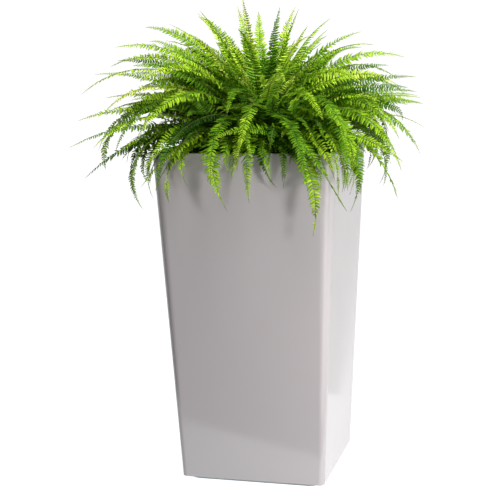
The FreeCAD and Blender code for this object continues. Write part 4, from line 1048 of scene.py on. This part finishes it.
def add_crosier(gathering, place, turn, height, coil, tone):
    """Adds a young frond, still rolled up: a stalk that ends in a flat spiral."""
    outward = heading_of(turn)
    rising = np.linspace(0, 1, 9)[:-1]
    stalk = (place + np.outer(rising, (0, 0, height))
             + np.outer(rising ** 2 * 0.01, outward))
    centre = place + np.array((0, 0, height)) + outward * (0.01 + coil)
    angles = np.linspace(math.pi, -2.4 * math.pi, 44)
    radii = coil * np.linspace(1, 0.22, len(angles))
    spiral = (centre + np.outer(radii * np.cos(angles), outward)
              + np.outer(radii * np.sin(angles), (0, 0, 1.0)))
    path = np.concatenate((stalk, spiral))
    thickness = np.concatenate((np.full(len(stalk), 0.0024),
                                np.linspace(0.0024, 0.0010, len(spiral))))
    add_stem(gathering, path, thickness, tone, stem=0.0)


def grow_crown():
    """Gathers the core, the scales, the old stumps and the crosiers."""
    dice = np.random.default_rng(7)
    gathering = Gathering()
    rounded_core(gathering, dice)
    for _ in range(scale_count):
        share = dice.uniform(0.02, 0.98)
        turn = dice.uniform(0, 2 * math.pi)
        radius = crown_radius * 0.88 * math.cos(share * math.pi / 2) ** 0.55
        outward = heading_of(turn)
        upward = unit(np.array((outward[0] * 0.35 + dice.normal(0, 0.2),
                                outward[1] * 0.35 + dice.normal(0, 0.2), 1.0)))
        place = outward * radius + (0, 0, mound_top + crown_height * 0.8 * share)
        add_scale(gathering, place, outward, upward, dice.uniform(0.005, 0.011),
                  dice.uniform(0.0015, 0.003), dice.uniform(0.1, 0.9))
    for _ in range(stump_count):
        turn = dice.uniform(0, 2 * math.pi)
        outward = heading_of(turn)
        place = (outward * crown_radius * dice.uniform(0.45, 0.8)
                 + (0, 0, mound_top + crown_height * 0.5))
        rise = dice.uniform(0.012, 0.022)
        path = place + np.outer(np.linspace(0, 1, 5), outward * 0.012 + (0, 0, rise))
        add_stem(gathering, path, np.linspace(0.0028, 0.0022, 5),
                 dice.uniform(0.2, 0.7), stem=0.0)
    for place in range(crosier_count):
        turn = place * golden_angle
        root = (heading_of(turn) * crown_radius * 0.4
                + (0, 0, mound_top + crown_height * 0.7))
        add_crosier(gathering, root, turn, dice.uniform(0.03, 0.06),
                    dice.uniform(0.006, 0.009), 0.8)
    return gathering


def crown_fibre():
    """The rusty scales of the crown, from dark brown to straw."""
    material, tree, shader = new_finish("crown_fibre", (0.10, 0.05, 0.02), 0.7)
    vary_colour(tree, shader, read_marks(tree)[0],
                ((0.0, (0.030, 0.014, 0.006)), (0.5, (0.120, 0.060, 0.022)),
                 (1.0, (0.300, 0.190, 0.080))))
    add_bump(tree, shader, object_noise(tree, 700.0, detail=4.0).outputs["Fac"],
             0.0008, strength=0.6)
    return material


crown = grow_crown().to_object("crown", crown_fibre(), "liner")
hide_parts("fern_crown")

# %% [markdown]
# ## Loose crumbs on the soil
#
# The soil's block has a smooth top, and a noise alone can't give it crumbs that
# cast shadows.  So small irregular lumps are scattered over it: mostly fine crumbs,
# some larger ones, and short fibres of bark.  They sit half sunk in the block.  The
# ground is level from the edge to the foot of the mound, and rises from there.

# %% Scatter the crumbs
crumb_tries = 5200


def scatter_crumbs():
    """Gathers crumbs over the soil, clear of the shaft and of the crown."""
    dice = np.random.default_rng(31)
    gathering = Gathering()
    turns = np.arange(4) / 4 * 2 * math.pi
    lump = [(math.cos(turn), math.sin(turn), level) for level in (-0.5, 0.5)
            for turn in turns]
    lump = np.array(lump + [(0, 0, -0.7), (0, 0, 0.7)])
    reach = soil_high.x - 0.010
    for _ in range(crumb_tries):
        x, y = dice.uniform(-reach, reach, 2)
        near_shaft = x < shaft_high.x + 0.008 and y > shaft_low.y - 0.008
        if near_shaft or math.hypot(x, y) < crown_radius - 0.004:
            continue
        size = 0.0011 + 0.0030 * dice.random() ** 3
        shape = lump * dice.uniform(0.55, 1.0, (10, 3)) * size
        shape *= (dice.uniform(0.7, 2.0), 1.0, 0.8)
        turn = dice.uniform(0, 2 * math.pi)
        cosine, sine = math.cos(turn), math.sin(turn)
        shape = shape @ np.array(((cosine, -sine, 0), (sine, cosine, 0), (0, 0, 1)))
        shape += (x, y, ground_level(x, y) + 0.2 * size)
        gathering.add(shape[None], 2, 4, (dice.random(), 0, 0))
    return gathering


def crumb_finish():
    """Crumbs from near black to bark brown, with a rough skin."""
    material, tree, shader = new_finish("soil_crumbs", (0.03, 0.02, 0.012), 0.9)
    shader.inputs["Specular IOR Level"].default_value = 0.25
    vary_colour(tree, shader, read_marks(tree)[0],
                ((0.0, (0.010, 0.007, 0.004)), (0.7, (0.055, 0.033, 0.018)),
                 (1.0, (0.150, 0.095, 0.055))))
    add_bump(tree, shader, object_noise(tree, 1200.0, detail=4.0).outputs["Fac"],
             0.0006, strength=0.8)
    return material


crumbs = scatter_crumbs().to_object("soil_crumbs", crumb_finish(), "liner")

# %% [markdown]
# ## The stage
#
# The planter stands on a plain pale floor.  To the lens it is white all over, and it meets
# the surround without an edge.  The glossy shell also mirrors it, and one even glow would
# leave the faces flat.  So the floor is three sheets that differ mainly in how bright they
# are mirrored, and so paint reflections on the shell: a light table, a shaded part of it
# behind a bent line, which mirrors dimmer as a painted shade in the shell's reflections,
# and a brighter, slightly cool sheet in front, whose mirrored glow is a painted reflection
# low on the front face.  Light path nodes tell the lens from the mirror.  Only the stage
# and the surround have them, and none of the planter's own materials does.

# %% The floor
front_corners = ((-0.70, -0.15), (-0.62, -0.40), (-0.36, -0.515), (0.20, -0.29),
                 (0.55, -0.15))
floor_line = ((0.26, 0.51), (0.39, 1.37), (0.62, 2.83), (2.4, 14.0))
table_corners = ((-9.0, -0.15), (9.0, -0.15), (9.0, 0.51), *floor_line, (-9.0, 14.0))
shade_corners = ((9.0, 14.0), *reversed(floor_line), (9.0, 0.51))


def pale_sheet(name, corners, tint, seen, mirrored, thrown):
    """A flat sheet of the floor with its own glow.

    The glow has three strengths: as it is seen, as gloss mirrors it, and as it is
    thrown on to dull surfaces.
    """
    material, tree, shader = new_finish(name, (0.18, 0.18, 0.18), 0.6)
    shader.inputs["Specular IOR Level"].default_value = 0.2
    shader.inputs["Emission Color"].default_value = (*tint, 1)
    path = add_node(tree, "ShaderNodeLightPath")
    glow = None
    for ray, strength in (("Is Camera Ray", seen), ("Is Glossy Ray", mirrored),
                          ("Is Diffuse Ray", thrown)):
        share = add_node(tree, "ShaderNodeMath", operation="MULTIPLY")
        share.inputs[1].default_value = strength
        tree.links.new(path.outputs[ray], share.inputs[0])
        if glow is not None:
            total = add_node(tree, "ShaderNodeMath", operation="ADD")
            tree.links.new(glow, total.inputs[0])
            tree.links.new(share.outputs["Value"], total.inputs[1])
            glow = total.outputs["Value"]
        else:
            glow = share.outputs["Value"]
    tree.links.new(glow, shader.inputs["Emission Strength"])
    vary_colour(tree, shader, object_noise(tree, 3.0).outputs["Fac"],
                ((0.3, (0.175, 0.175, 0.18)), (0.7, (0.185, 0.185, 0.19))))
    mesh = bpy.data.meshes.new(name)
    mesh.from_pydata([(x, y, 0.0) for x, y in corners], [],
                     [tuple(range(len(corners)))])
    mesh.materials.append(material)
    sheet = bpy.data.objects.new(name, mesh)
    bpy.context.scene.collection.objects.link(sheet)


# Each sheet's mirrored glow is a painted reflection on the shell; the shaded table mirrors
# as painted shade.
pale_sheet("light_table", table_corners, (1, 1, 1), 1.05, 1.28, 0.35)
pale_sheet("shaded_table", shade_corners, (1, 1, 1), 1.05, 0.80, 0.35)
pale_sheet("front_sheet", front_corners, (0.88, 0.97, 1), 1.2, 1.8, 0.15)

# %% [markdown]
# ## Light
#
# Five soft boxes and a dim even surround, which only the lens sees as white.  The
# near box stands low by the front corner, so the front face darkens away from it.
# The side box lifts the right face.  The edge box is narrow, and brightens the
# rounded front corner.  The top box hangs over the fern.  The key box is small and
# far off, in front and to the right: it lays the fronds' soft shadows on the faces.
# A sun lamp would be simpler, but its shadows would be too hard.

# %% Lights and surround
def soft_box(name, place, target, width, height, power):
    """An area light that faces a target."""
    light = bpy.data.lights.new(name, "AREA")
    light.shape = "RECTANGLE"
    light.size, light.size_y = width, height
    light.energy = power
    lamp = bpy.data.objects.new(name, light)
    facing = Vector(target) - Vector(place)
    lamp.rotation_euler = facing.to_track_quat("-Z", "Y").to_euler()
    lamp.location = place
    bpy.context.scene.collection.objects.link(lamp)


def bright_surround(strength, seen):
    """An even glow for the light, and clean white for what the lens sees directly."""
    world = bpy.data.worlds.new("studio_surround")
    bpy.context.scene.world = world
    world.use_nodes = True
    tree = world.node_tree
    tree.nodes.clear()
    path = add_node(tree, "ShaderNodeLightPath")
    mix = add_node(tree, "ShaderNodeMixShader")
    glow = add_node(tree, "ShaderNodeBackground", Color=(1, 1, 1, 1), Strength=strength)
    plain = add_node(tree, "ShaderNodeBackground", Color=(1, 1, 1, 1), Strength=seen)
    output = add_node(tree, "ShaderNodeOutputWorld")
    tree.links.new(path.outputs["Is Camera Ray"], mix.inputs[0])
    tree.links.new(glow.outputs[0], mix.inputs[1])
    tree.links.new(plain.outputs[0], mix.inputs[2])
    tree.links.new(mix.outputs[0], output.inputs["Surface"])


soft_box("near_box", (0.66, -0.56, 0.32), (0, 0, 0.30), 0.4, 0.9, 2.5)
soft_box("side_box", (1.9, 0.9, 0.9), (0, 0, 0.6), 1.4, 1.6, 2.4)
soft_box("edge_box", (0.95, -0.10, 0.32), (0.2, -0.2, 0.32), 0.16, 0.6, 0.32)
soft_box("top_box", (0.5, -0.5, 2.4), (0, 0, 0.8), 1.0, 1.0, 38)
soft_box("key_box", (2.2, -3.0, 1.35), (0, 0, 0.75), 0.45, 0.45, 52)
bright_surround(0.115, 1.05)
